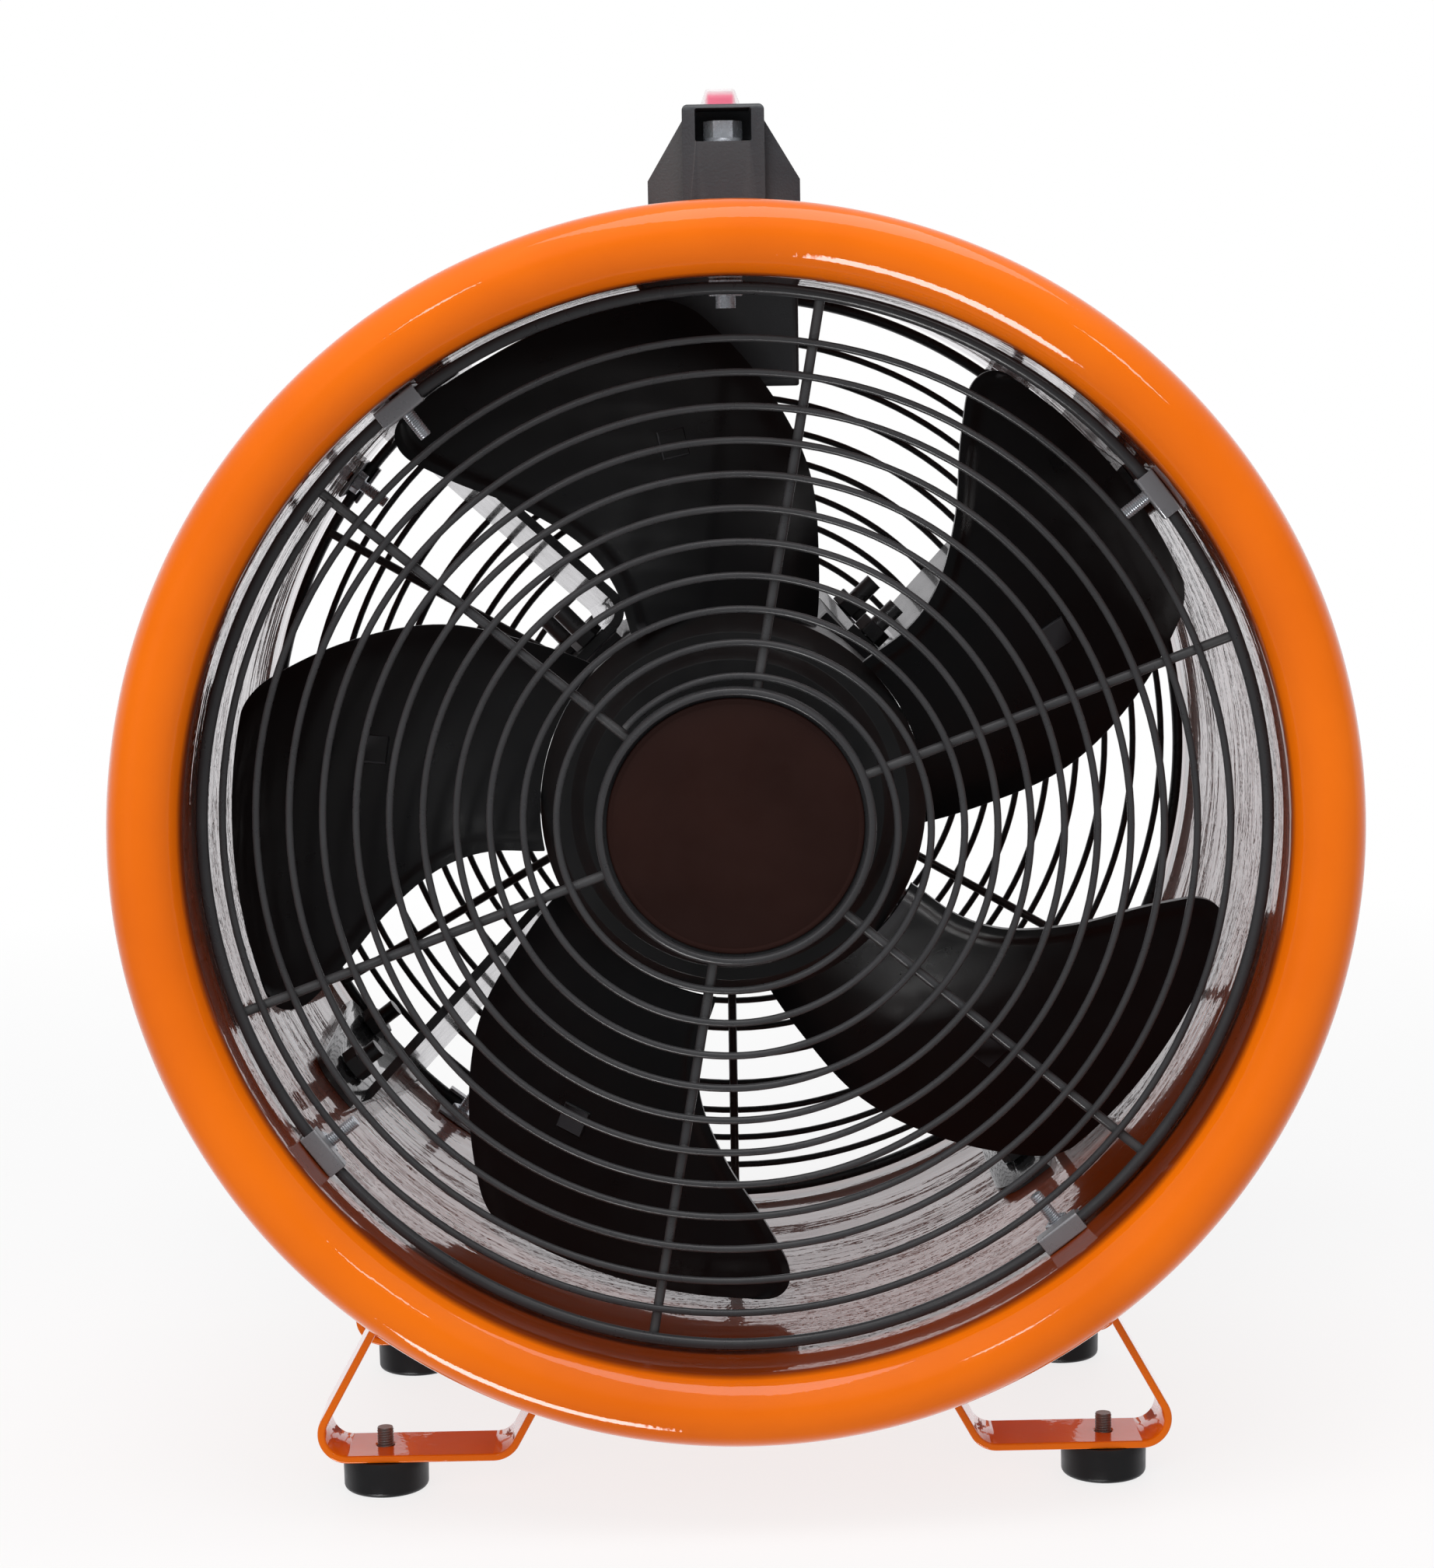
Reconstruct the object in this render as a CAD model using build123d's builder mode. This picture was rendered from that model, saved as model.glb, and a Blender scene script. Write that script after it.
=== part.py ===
from build123d import *

import math
import os

# Portable axial ventilator: a rolled duct with wire grilles, a motor on four struts, a five-blade
# impeller, strap legs on rubber feet and a carrying handle with a rocker switch under a clear boot.
#
# Millimetres. +Z is up and the duct runs along Y, with its front mouth towards -Y. The origin is on
# the floor, below the middle of the duct. Depths are measured from the nearer mouth of the duct.

# Duct
LENGTH = 250.0
AXIS_Z = 210.0
SHEET = 1.2
BORE_R = 160.5
RIM_R = 182.4
FLARE_R = 12.0
ROLL_R = RIM_R - BORE_R - FLARE_R
SKIRT = 14.4
SHELL_R = BORE_R + SHEET

# Grilles
RING_R = 157.4
RING_WIRE_R = 1.8
RING_DEPTH = 30.0
SPOKE_WIRE_R = 1.5
SPOKE_DEPTH = RING_DEPTH + RING_WIRE_R + SPOKE_WIRE_R
SPIRAL_WIRE_R = 1.1
SPIRAL_DEPTH = SPOKE_DEPTH - SPOKE_WIRE_R - SPIRAL_WIRE_R
SPIRAL_START_R = 152.0
SPIRAL_PITCH = 9.85
SPIRAL_HALF_TURNS = 22
SPIRAL_TURN = 140.0
CUP_R = 41.6
CUP_DEPTH = 26.6
BADGE_R = 38.2
FRONT_SPOKES = 20.0
REAR_SPOKES = 30.0

# Grille clips
CLIP_TURN = 37.5
CLIP_WIDTH = 14.3
CLIP_SHEET = 1.0
CLIP_SCREW_R = 2.0
CLIP_SCREW_DEPTH = 41.0
CLIP_SCREW_TIP_R = 146.0

# Impeller
HUB_R = 59.5
HUB_FRONT = 68.0
HUB_BACK = 112.0
HUB_WALL = 3.0
BLADES = 5
BLADE_TIP_R = 156.0
BLADE_SHEET = 2.6
BLADE_TURN = 30.7
BLADE_CAMBER = 4.0
# Distance from the axis, depth on the blade's own direction, slope across it, and its two sides
BLADE_SECTIONS = (
    (44, 79.5, 0.455, -46, 26),
    (80, 80.5, 0.365, -55, 31),
    (120, 87.2, 0.240, -50, 72),
    (160, 93.0, 0.180, -28, 116),
)
# Distance from the axis and angle of the points that each long edge passes through
TRAILING_EDGE = ((80, -2.6), (105, 3.9), (130, 12.9), (BLADE_TIP_R, 23.0))
LEADING_EDGE = ((BLADE_TIP_R, 61.7), (130, 57.2), (110, 51.5), (90, 46.3), (75, 45.2))
ROOT_TURNS = (-9.0, 47.8)
LEADING_TIP_FILLET = 14.0
TRAILING_TIP_FILLET = 6.0
PAD_DISTANCE = 112.0
PAD_SHIFT = -8.0
PAD_SIDE = 9.0

# Motor
MOTOR_R = 59.0
MOTOR_PAD_R = 61.0
MOTOR_WALL = 3.5
MOTOR_FRONT = 126.0
MOTOR_BACK = 198.0
COVER_LENGTH = 9.0
SHAFT_R = 6.0
BEARING_R = 15.0
TIE_R = 48.5
BEARING_WIDTH = 9.0

# Struts
STRUT_SHEET = 3.0
STRUT_FRONT = 137.0
STRUT_BACK = 197.0
STRUT_TURN = 216.4
STRUT_ROOT = (70.0, 211.0)
STRUT_END = (159.0, 220.2)
STRUT_TAB_TURN = 224.0
STRUT_TAB_LENGTH = 24.0
STRUT_BEND = 7.0
STRUT_LEAN = 12.0
STRUT_BOLTS = (138.0, 207.0)
# Depth of each stud and how far it stands to the side of its pad's middle
STRUT_STUDS = ((150.0, 1.0), (184.0, 9.0))
STRUT_FOOT = (112.0, 216.0)
STRUT_PAD = (26.0, 4.5)
M6_R = 3.0
M6_FLATS = 10.0

# Legs and feet
LEG_SHEET = 2.4
LEG_WIDTH = 24.0
LEG_DEPTH = 61.8
LEG_BOTTOM = 11.0
LEG_OUTER_X = 136.1
LEG_INNER_X = 73.0
LEG_SLOPE = 61.0
LEG_BEND = 8.0
FOOT_X = 111.8
FOOT_R = 13.1
STUD_R = 2.6
STUD_RISE = 5.6

# Terminal box under the top of the duct
BOX_FRONT = 108.0
BOX_BACK = 181.4
BOX_LEFT = -26.4
BOX_RIGHT = 23.2
BOX_FLOOR_R = 127.8
BOX_WALL = 1.5
BOX_LID = 2.2
CAPACITOR = (38.0, 44.0, 18.0)

# Handle
HANDLE_TOP = AXIS_Z + 211.2
HANDLE_HALF = 75.0
HANDLE_WIDTH = 24.2
POST_LENGTH = 30.0
GRIP_DEPTH = 22.0
GUSSET_WIDTH = 45.0
GUSSET_SET_BACK = 4.0
GUSSET_TOP = HANDLE_TOP - 4.6
GUSSET_SHOULDER = HANDLE_TOP - 22.0
RECESS_WIDTH = 16.6
RECESS_FLOOR = AXIS_Z + 200.4
RECESS_ROOF = HANDLE_TOP - 1.2
BOLT_Y = 64.0
LEAD_Y = 51.0
LEAD_R = 3.2

# Switch
SWITCH_BEZEL = (14.6, 22.4, 1.4)
SWITCH_BODY = (12.4, 19.0)
SWITCH_BODY_DROP = 13.0
ROCKER_WIDTH = 6.8
ROCKER_LENGTH = 13.0
ROCKER_PIVOT_Z = HANDLE_TOP - 1.0
ROCKER_TILT = 8.0
BOOT_TOP_Z = HANDLE_TOP + 8.8
BOOT_WALL = 0.7

CLEAR = 0.05
DUCT_AXIS = Axis((0, 0, AXIS_Z), (0, 1, 0))


def save(piece, name):
    """Labels a finished piece and writes it to its own file."""
    piece.part.label = name
    export_step(piece.part, f"parts/{name}.step")


def radial(turn):
    """Unit vector out from the duct axis, counter-clockwise from +X as seen from the front."""
    return Vector(math.cos(math.radians(turn)), 0, math.sin(math.radians(turn)))


def cross_plane(depth, turn=0.0, mouth="front"):
    """Plane across the duct, facing out of its mouth, at a depth behind that mouth."""
    side = -1 if mouth == "front" else 1
    out = radial(turn)
    return Plane(
        origin=(0, side * (LENGTH / 2 - depth), AXIS_Z),
        x_dir=(-side * out.X, 0, out.Z),
        z_dir=(0, side, 0),
    )


def spoke_plane(distance, depth, turn, mouth="front"):
    """Plane facing straight out from the duct axis, with its local y along the duct."""
    home = cross_plane(depth, turn, mouth)
    return Plane(
        origin=home.origin + home.x_dir * distance,
        x_dir=home.z_dir.cross(home.x_dir),
        z_dir=home.x_dir,
    )


def revolve_profile(depth=0.0):
    """Plane holding the duct axis, with local x as the radius and local y as the depth."""
    return Plane(origin=(0, depth - LENGTH / 2, AXIS_Z), x_dir=(1, 0, 0), z_dir=(0, 0, 1))


def drill_radially(depths, turns, hole_r, inner_r, outer_r, mouth="front", shift=0.0):
    """Cuts round holes along the given spokes, or beside them, out of the piece being built."""
    for depth in depths:
        for turn in turns:
            with BuildSketch(spoke_plane(inner_r, depth, turn, mouth)) as hole:
                with Locations((shift, 0)):
                    Circle(hole_r)
            extrude(hole.sketch, amount=outer_r - inner_r, mode=Mode.SUBTRACT)


def quarter_turns(first):
    return [first + 90 * k for k in range(4)]


def make_duct_shell():
    """Rolled sheet tube whose two mouths flare out and roll back into a short skirt."""
    centre_r = BORE_R + FLARE_R
    middle = LENGTH / 2
    with BuildPart() as shell:
        with BuildSketch(revolve_profile()):
            with BuildLine():
                Line((BORE_R, middle), (BORE_R, FLARE_R))
                CenterArc((centre_r, FLARE_R), FLARE_R, 180, 90)
                CenterArc((centre_r, ROLL_R), ROLL_R, 270, 90)
                Line((RIM_R, ROLL_R), (RIM_R, SKIRT))
                Line((RIM_R, SKIRT), (RIM_R - SHEET, SKIRT))
                Line((RIM_R - SHEET, SKIRT), (RIM_R - SHEET, ROLL_R))
                CenterArc((centre_r, ROLL_R), ROLL_R - SHEET, 0, -90)
                CenterArc((centre_r, FLARE_R), FLARE_R - SHEET, 270, -90)
                Line((SHELL_R, FLARE_R), (SHELL_R, middle))
                Line((SHELL_R, middle), (BORE_R, middle))
            make_face()
        revolve(axis=DUCT_AXIS)
        mirror(about=Plane.XZ)
        inner_r = BORE_R - 4
        outer_r = SHELL_R + 4
        for mouth in ("front", "rear"):
            drill_radially([CLIP_SCREW_DEPTH], quarter_turns(CLIP_TURN), CLIP_SCREW_R + 0.2,
                           inner_r, outer_r, mouth)
        drill_radially(STRUT_BOLTS, quarter_turns(STRUT_TURN), M6_R + 0.3, inner_r, outer_r)
        drill_radially([LENGTH / 2 - BOLT_Y, LENGTH / 2 + BOLT_Y], [90], M6_R + 0.3, inner_r, outer_r)
        drill_radially([LENGTH / 2 + LEAD_Y], [90], LEAD_R + 1.6, inner_r, outer_r)
    save(shell, "duct_shell")


def make_duct_seam():
    """Low weld bead along the bottom of the tube, outside."""
    with BuildPart() as seam:
        with BuildSketch(cross_plane(LENGTH - SKIRT - 4)):
            with Locations((0, -SHELL_R - 0.55)):
                RectangleRounded(3.6, 1.0, 0.45)
        extrude(amount=LENGTH - 2 * SKIRT - 8)
    save(seam, "duct_weld_seam")


def make_grille(mouth, first_spoke):
    """Ring, six spokes and a spiral wire, with a shallow cup over the spokes' inner ends."""
    with BuildPart() as ring:
        with BuildSketch(revolve_profile()):
            depth = RING_DEPTH if mouth == "front" else LENGTH - RING_DEPTH
            with Locations((RING_R, depth)):
                Circle(RING_WIRE_R)
        revolve(axis=DUCT_AXIS)
    save(ring, f"{mouth}_grille_ring")

    with BuildPart() as spokes:
        for turn in range(6):
            with BuildSketch(spoke_plane(26, SPOKE_DEPTH, first_spoke + 60 * turn, mouth)):
                Circle(SPOKE_WIRE_R)
            extrude(amount=RING_R - 26)
    save(spokes, f"{mouth}_grille_spokes")

    plane = cross_plane(SPIRAL_DEPTH, SPIRAL_TURN, mouth)
    with BuildPart() as spiral:
        with BuildLine(plane) as path:
            reach = SPIRAL_START_R
            for half in range(SPIRAL_HALF_TURNS):
                side = 1 if half % 2 == 0 else -1
                arc_r = reach - SPIRAL_PITCH / 4
                CenterArc((side * SPIRAL_PITCH / 4, 0), arc_r, 0 if side > 0 else 180, 180)
                reach -= SPIRAL_PITCH / 2
        start = plane.origin + plane.x_dir * SPIRAL_START_R
        with BuildSketch(Plane(origin=start, x_dir=plane.x_dir, z_dir=plane.y_dir)):
            Circle(SPIRAL_WIRE_R)
        sweep(path=path.wires()[0])
    save(spiral, f"{mouth}_grille_spiral")

    back = SPOKE_DEPTH - SPOKE_WIRE_R
    with BuildPart() as cup:
        with BuildSketch(cross_plane(back, 0, mouth)):
            Circle(CUP_R)
        extrude(amount=back - CUP_DEPTH)
        fillet(cup.faces().sort_by(Axis.Y)[0 if mouth == "front" else -1].edges(), 1.6)
        with BuildSketch(cross_plane(back - 1.2, 0, mouth)):
            Circle(CUP_R - 2.4)
        extrude(amount=back, mode=Mode.SUBTRACT)
    save(cup, f"{mouth}_grille_cup")


def make_badge():
    """Plain round plate set into the front cup."""
    with BuildPart() as badge:
        with BuildSketch(cross_plane(SPOKE_DEPTH - SPOKE_WIRE_R - 1.2)):
            Circle(BADGE_R)
        extrude(amount=1.6)
        fillet(badge.faces().sort_by(Axis.Y)[0].edges(), 0.6)
    save(badge, "front_grille_badge")


def clip_profile():
    """Hooked strip, drawn with local x out from the axis and local y away from the mouth."""
    leg_r = BORE_R - 0.25
    hook_r = RING_R - RING_WIRE_R - 0.3
    nose = RING_DEPTH - RING_WIRE_R - 0.2
    with BuildSketch() as profile:
        with BuildLine():
            Polyline(
                (leg_r, nose - CLIP_SHEET),
                (leg_r, CLIP_SCREW_DEPTH + 7),
                (leg_r - CLIP_SHEET, CLIP_SCREW_DEPTH + 7),
                (leg_r - CLIP_SHEET, nose),
                (hook_r, nose),
                (hook_r, RING_DEPTH + 2),
                (hook_r - CLIP_SHEET, RING_DEPTH + 2),
                (hook_r - CLIP_SHEET, nose - CLIP_SHEET),
                close=True,
            )
        make_face()
        corners = profile.vertices().group_by(Axis.Y)[0]
        fillet(corners, 0.8)
    return profile.sketch


def make_clips():
    """Sheet hooks that hold the two grille rings against the tube."""
    profile = clip_profile()
    with BuildPart() as clips:
        for mouth in ("front", "rear"):
            for turn in quarter_turns(CLIP_TURN):
                out = cross_plane(0, turn, mouth)
                inward = -out.z_dir
                with BuildSketch(Plane(origin=out.origin, x_dir=out.x_dir, z_dir=out.x_dir.cross(inward))):
                    add(profile)
                extrude(amount=CLIP_WIDTH / 2, both=True)
            drill_radially([CLIP_SCREW_DEPTH], quarter_turns(CLIP_TURN), CLIP_SCREW_R + 0.15,
                           BORE_R - 3, BORE_R + 1, mouth)
    save(clips, "grille_clips")


def make_clip_screws():
    """Pan-headed screws, heads outside the tube, and the nuts that clamp the clips."""
    seat = BORE_R - 0.25 - CLIP_SHEET
    with BuildPart() as screws:
        for mouth in ("front", "rear"):
            for turn in quarter_turns(CLIP_TURN):
                with BuildSketch(spoke_plane(CLIP_SCREW_TIP_R, CLIP_SCREW_DEPTH, turn, mouth)):
                    Circle(CLIP_SCREW_R)
                extrude(amount=SHELL_R + 0.3 - CLIP_SCREW_TIP_R)
                with BuildSketch(spoke_plane(SHELL_R + 0.1, CLIP_SCREW_DEPTH, turn, mouth)):
                    Circle(3.8)
                extrude(amount=2.4, taper=12)
    save(screws, "clip_screws")
    with BuildPart() as nuts:
        for mouth in ("front", "rear"):
            for turn in quarter_turns(CLIP_TURN):
                with BuildSketch(spoke_plane(seat - 3.3, CLIP_SCREW_DEPTH, turn, mouth)):
                    RegularPolygon(3.5, 6, major_radius=False)
                    Circle(CLIP_SCREW_R + CLEAR, mode=Mode.SUBTRACT)
                extrude(amount=3.2)
    save(nuts, "clip_nuts")


def blade_height(section, across):
    """Depth of a blade section's chord, a distance to the side of the blade's own direction."""
    return section[1] - section[2] * across


def make_blade(number, turn):
    """Twisted sheet, steepest at its root, whose leading edge sweeps forward to a round tip."""
    out = radial(turn)
    around = Vector(-out.Z, 0, out.X)
    mouth = Vector(0, -LENGTH / 2, AXIS_Z)
    with BuildPart() as blade:
        for section in BLADE_SECTIONS:
            low_x, high_x = section[3], section[4]
            middle = (low_x + high_x) / 2
            low = (low_x, -blade_height(section, low_x))
            peak = (middle, BLADE_CAMBER - blade_height(section, middle))
            high = (high_x, -blade_height(section, high_x))
            with BuildSketch(Plane(origin=mouth + out * section[0], x_dir=around, z_dir=out)):
                with BuildLine():
                    ThreePointArc(low, peak, high)
                    Line(high, (high[0], high[1] - BLADE_SHEET))
                    ThreePointArc(
                        (high[0], high[1] - BLADE_SHEET),
                        (peak[0], peak[1] - BLADE_SHEET),
                        (low[0], low[1] - BLADE_SHEET),
                    )
                    Line((low[0], low[1] - BLADE_SHEET), low)
                make_face()
        loft()
        with BuildSketch(cross_plane(130, turn - BLADE_TURN)) as outline:
            root_r = HUB_R + 0.1
            trailing = [polar(root_r, ROOT_TURNS[0])] + [polar(*point) for point in TRAILING_EDGE]
            leading = [polar(*point) for point in LEADING_EDGE] + [polar(root_r, ROOT_TURNS[1])]
            tip_turn = (TRAILING_EDGE[-1][1] + LEADING_EDGE[0][1]) / 2
            with BuildLine():
                Spline(*trailing)
                ThreePointArc(trailing[-1], polar(BLADE_TIP_R, tip_turn), leading[0])
                Spline(*leading)
                ThreePointArc(leading[-1], polar(root_r, sum(ROOT_TURNS) / 2), trailing[0])
            make_face()
            tips = outline.vertices().filter_by(lambda v: axis_distance(v) > BLADE_TIP_R - 1)
            corners = tips.sort_by_distance(Vertex(*tip_corner(outline, turn)))
            fillet(corners[0], LEADING_TIP_FILLET)
            tips = outline.vertices().filter_by(lambda v: axis_distance(v) > BLADE_TIP_R - 1)
            fillet(tips.sort_by_distance(corners[-1])[0], TRAILING_TIP_FILLET)
        extrude(amount=80, mode=Mode.INTERSECT)
        section = blade_section(PAD_DISTANCE)
        normal = (Vector(0, -1, 0) - around * section[2]).normalized()
        depth = blade_height(section, PAD_SHIFT) - BLADE_CAMBER + 1.0
        spot = mouth + out * PAD_DISTANCE + around * PAD_SHIFT + Vector(0, depth, 0)
        with BuildSketch(Plane(origin=spot, x_dir=out, z_dir=normal)):
            RectangleRounded(PAD_SIDE, PAD_SIDE, 1)
        extrude(amount=1.6)
    save(blade, f"blade_{number}")


def tip_corner(outline, turn):
    """Place of the blade's leading tip corner in space."""
    x, up = polar(*LEADING_EDGE[0])
    spin = math.radians(turn - BLADE_TURN)
    depth = outline.sketch.center().Y
    return (
        x * math.cos(spin) - up * math.sin(spin),
        depth,
        AXIS_Z + x * math.sin(spin) + up * math.cos(spin),
    )


def blade_section(distance):
    """Blade section at any distance from the axis, between the two nearest given ones."""
    below = [section for section in BLADE_SECTIONS if section[0] <= distance][-1]
    above = [section for section in BLADE_SECTIONS if section[0] > distance][0]
    share = (distance - below[0]) / (above[0] - below[0])
    return tuple(low + (high - low) * share for low, high in zip(below, above))


def polar(distance, turn):
    return (distance * math.cos(math.radians(turn)), distance * math.sin(math.radians(turn)))


def axis_distance(vertex):
    """Distance of a vertex from the duct axis."""
    return math.hypot(vertex.X, vertex.Z - AXIS_Z)


def make_hub():
    """Pressed cup with a stepped face, a skirt the blades stand on and a bored boss."""
    with BuildPart() as hub:
        with BuildSketch(revolve_profile()):
            with BuildLine():
                Polyline(
                    (SHAFT_R + 0.02, HUB_FRONT + 4),
                    (14, HUB_FRONT + 4),
                    (18, HUB_FRONT),
                    (46, HUB_FRONT),
                    (50, HUB_FRONT + 4),
                    (54, HUB_FRONT + 4),
                    (HUB_R, HUB_FRONT + 9.5),
                    (HUB_R, HUB_BACK),
                    (HUB_R - HUB_WALL, HUB_BACK),
                    (HUB_R - HUB_WALL, HUB_FRONT + 10.5),
                    (52.5, HUB_FRONT + 7),
                    (49, HUB_FRONT + 7),
                    (45, HUB_FRONT + HUB_WALL),
                    (19, HUB_FRONT + HUB_WALL),
                    (14, HUB_FRONT + 8),
                    (14, HUB_BACK - 2),
                    (SHAFT_R + 0.02, HUB_BACK - 2),
                    close=True,
                )
            make_face()
        revolve(axis=DUCT_AXIS)
        cut_keyway()
    save(hub, "impeller_hub")


def cut_keyway():
    """Cuts the key's slot out of the piece being built."""
    with BuildSketch(cross_plane(HUB_BACK - 4 + CLEAR)) as slot:
        with Locations((0, SHAFT_R)):
            Rectangle(4, 4)
    extrude(slot.sketch, amount=24 + 2 * CLEAR, mode=Mode.SUBTRACT)


def make_impeller_fixings():
    """Washer and nut on the shaft's threaded nose, and the key that drives the hub."""
    face = HUB_FRONT + 4
    with BuildPart() as washer:
        with BuildSketch(cross_plane(face)):
            Circle(11)
            Circle(4.2, mode=Mode.SUBTRACT)
        extrude(amount=1.6)
    save(washer, "hub_washer")
    with BuildPart() as nut:
        with BuildSketch(cross_plane(face - 1.6)):
            RegularPolygon(6.5, 6, major_radius=False)
            Circle(4 + CLEAR, mode=Mode.SUBTRACT)
        extrude(amount=6.5)
    save(nut, "hub_nut")
    with BuildPart() as key:
        with BuildSketch(cross_plane(HUB_BACK - 4)):
            with Locations((0, SHAFT_R)):
                Rectangle(3.9, 3.9)
        extrude(amount=24)
    save(key, "hub_key")


def make_shaft():
    with BuildPart() as shaft:
        with BuildSketch(cross_plane(MOTOR_BACK + COVER_LENGTH - 1)):
            Circle(SHAFT_R)
        extrude(amount=MOTOR_BACK + COVER_LENGTH - 1 - HUB_FRONT - 5)
        with BuildSketch(cross_plane(HUB_FRONT + 5)):
            Circle(4)
        extrude(amount=15)
        cut_keyway()
    save(shaft, "motor_shaft")


def tube(inner_r, outer_r, start, end):
    """Adds a plain round tube on the duct axis, between two depths."""
    with BuildSketch(cross_plane(end)) as section:
        Circle(outer_r)
        if inner_r > 0:
            Circle(inner_r, mode=Mode.SUBTRACT)
    extrude(section.sketch, amount=end - start)


def make_motor():
    with BuildPart() as casing:
        tube(MOTOR_R - MOTOR_WALL, MOTOR_R, MOTOR_FRONT, MOTOR_BACK)
        with BuildSketch(cross_plane(MOTOR_BACK - 4)):
            with Locations((0, MOTOR_R + 2)):
                Rectangle(26, 12)
            Circle(MOTOR_R - 1, mode=Mode.SUBTRACT)
        extrude(amount=38)
        with BuildSketch(cross_plane(MOTOR_BACK - 4, STRUT_TAB_TURN)):
            for k in range(4):
                with Locations(Rotation(0, 0, 90 * k)):
                    with Locations((MOTOR_PAD_R - 3, STRUT_PAD[1])):
                        Rectangle(6, STRUT_PAD[0])
            Circle(MOTOR_R - 1, mode=Mode.SUBTRACT)
        extrude(amount=MOTOR_BACK - MOTOR_FRONT - 8)
        drill_radially([LENGTH / 2 + LEAD_Y], [90], LEAD_R + 0.6, MOTOR_R - 8, MOTOR_R + 12)
        for depth, shift in STRUT_STUDS:
            drill_radially([depth], quarter_turns(STRUT_TAB_TURN), M6_R + 0.02,
                           MOTOR_R - 8, MOTOR_R + 8, shift=shift)
    save(casing, "motor_casing")

    seat_r = BEARING_R + 0.02
    with BuildPart() as front_cover:
        tube(SHAFT_R + 1.5, MOTOR_R, MOTOR_FRONT - COVER_LENGTH, MOTOR_FRONT - 0.05)
        tube(20, MOTOR_R - MOTOR_WALL - 0.1, MOTOR_FRONT - 0.05, MOTOR_FRONT + 5)
        fillet(front_cover.faces().sort_by(Axis.Y)[0].edges().sort_by(SortBy.RADIUS)[-1], 4)
        with BuildSketch(cross_plane(MOTOR_FRONT + 6)):
            Circle(seat_r)
        extrude(amount=13, mode=Mode.SUBTRACT)
        drill_tie_holes(MOTOR_FRONT + 10, 30)
    save(front_cover, "motor_front_cover")

    with BuildPart() as rear_cover:
        tube(0, MOTOR_R, MOTOR_BACK + 0.05, MOTOR_BACK + COVER_LENGTH)
        tube(20, MOTOR_R - MOTOR_WALL - 0.1, MOTOR_BACK - 5, MOTOR_BACK + 0.05)
        fillet(rear_cover.faces().sort_by(Axis.Y)[-1].edges(), 4)
        with BuildSketch(cross_plane(MOTOR_BACK + 7)):
            Circle(seat_r)
        extrude(amount=13, mode=Mode.SUBTRACT)
        with BuildSketch(cross_plane(MOTOR_BACK + COVER_LENGTH - 0.8)):
            Circle(SHAFT_R + 1)
        extrude(amount=4, mode=Mode.SUBTRACT)
        drill_tie_holes(MOTOR_BACK + 20, 30)
    save(rear_cover, "motor_rear_cover")

    with BuildPart() as stator:
        tube(28, MOTOR_R - MOTOR_WALL - 0.05, 144, 180)
        with BuildSketch(cross_plane(181)):
            with PolarLocations(33, 24):
                Circle(2.0)
            with PolarLocations(TIE_R, 4, start_angle=45):
                Circle(2.3)
        extrude(amount=38, mode=Mode.SUBTRACT)
    save(stator, "motor_stator")

    with BuildPart() as windings:
        tube(30, 43, 133.2, 143.9)
        tube(30, 43, 180.1, 190.8)
        fillet(windings.edges().filter_by(GeomType.CIRCLE), 3)
    save(windings, "motor_windings")

    with BuildPart() as rotor:
        tube(SHAFT_R + 0.02, 27.4, 144, 180)
        tube(14, 25, 140, 144)
        tube(14, 25, 180, 184)
        fillet(rotor.faces().sort_by(Axis.Y)[0].edges(), 1)
        fillet(rotor.faces().sort_by(Axis.Y)[-1].edges(), 1)
    save(rotor, "motor_rotor")

    with BuildPart() as outer_races:
        for start in bearing_starts():
            tube(12.4, BEARING_R, start, start + BEARING_WIDTH)
    save(outer_races, "bearing_outer_races")
    with BuildPart() as inner_races:
        for start in bearing_starts():
            tube(SHAFT_R + 0.02, 8.6, start, start + BEARING_WIDTH)
    save(inner_races, "bearing_inner_races")
    with BuildPart() as balls:
        for start in bearing_starts():
            with Locations(cross_plane(start + BEARING_WIDTH / 2)):
                with PolarLocations(10.5, 8):
                    Sphere(1.85)
    save(balls, "bearing_balls")

    with BuildPart() as bolts:
        with BuildSketch(cross_plane(MOTOR_BACK + COVER_LENGTH - 1)):
            with PolarLocations(TIE_R, 4, start_angle=45):
                Circle(2.0)
        extrude(amount=MOTOR_BACK + 2 * COVER_LENGTH - 1 - MOTOR_FRONT)
        with BuildSketch(cross_plane(MOTOR_FRONT - COVER_LENGTH - 0.05)):
            with PolarLocations(TIE_R, 4, start_angle=45):
                Circle(3.6)
        extrude(amount=2.6)
    save(bolts, "motor_tie_bolts")


def drill_tie_holes(depth, length):
    """Cuts the four long screws' holes out of the piece being built."""
    with BuildSketch(cross_plane(depth)) as holes:
        with PolarLocations(TIE_R, 4, start_angle=45):
            Circle(2.2)
    extrude(holes.sketch, amount=length, mode=Mode.SUBTRACT)


def bearing_starts():
    return (MOTOR_FRONT - 7 + CLEAR, MOTOR_BACK + 7 - CLEAR - BEARING_WIDTH)


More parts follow.
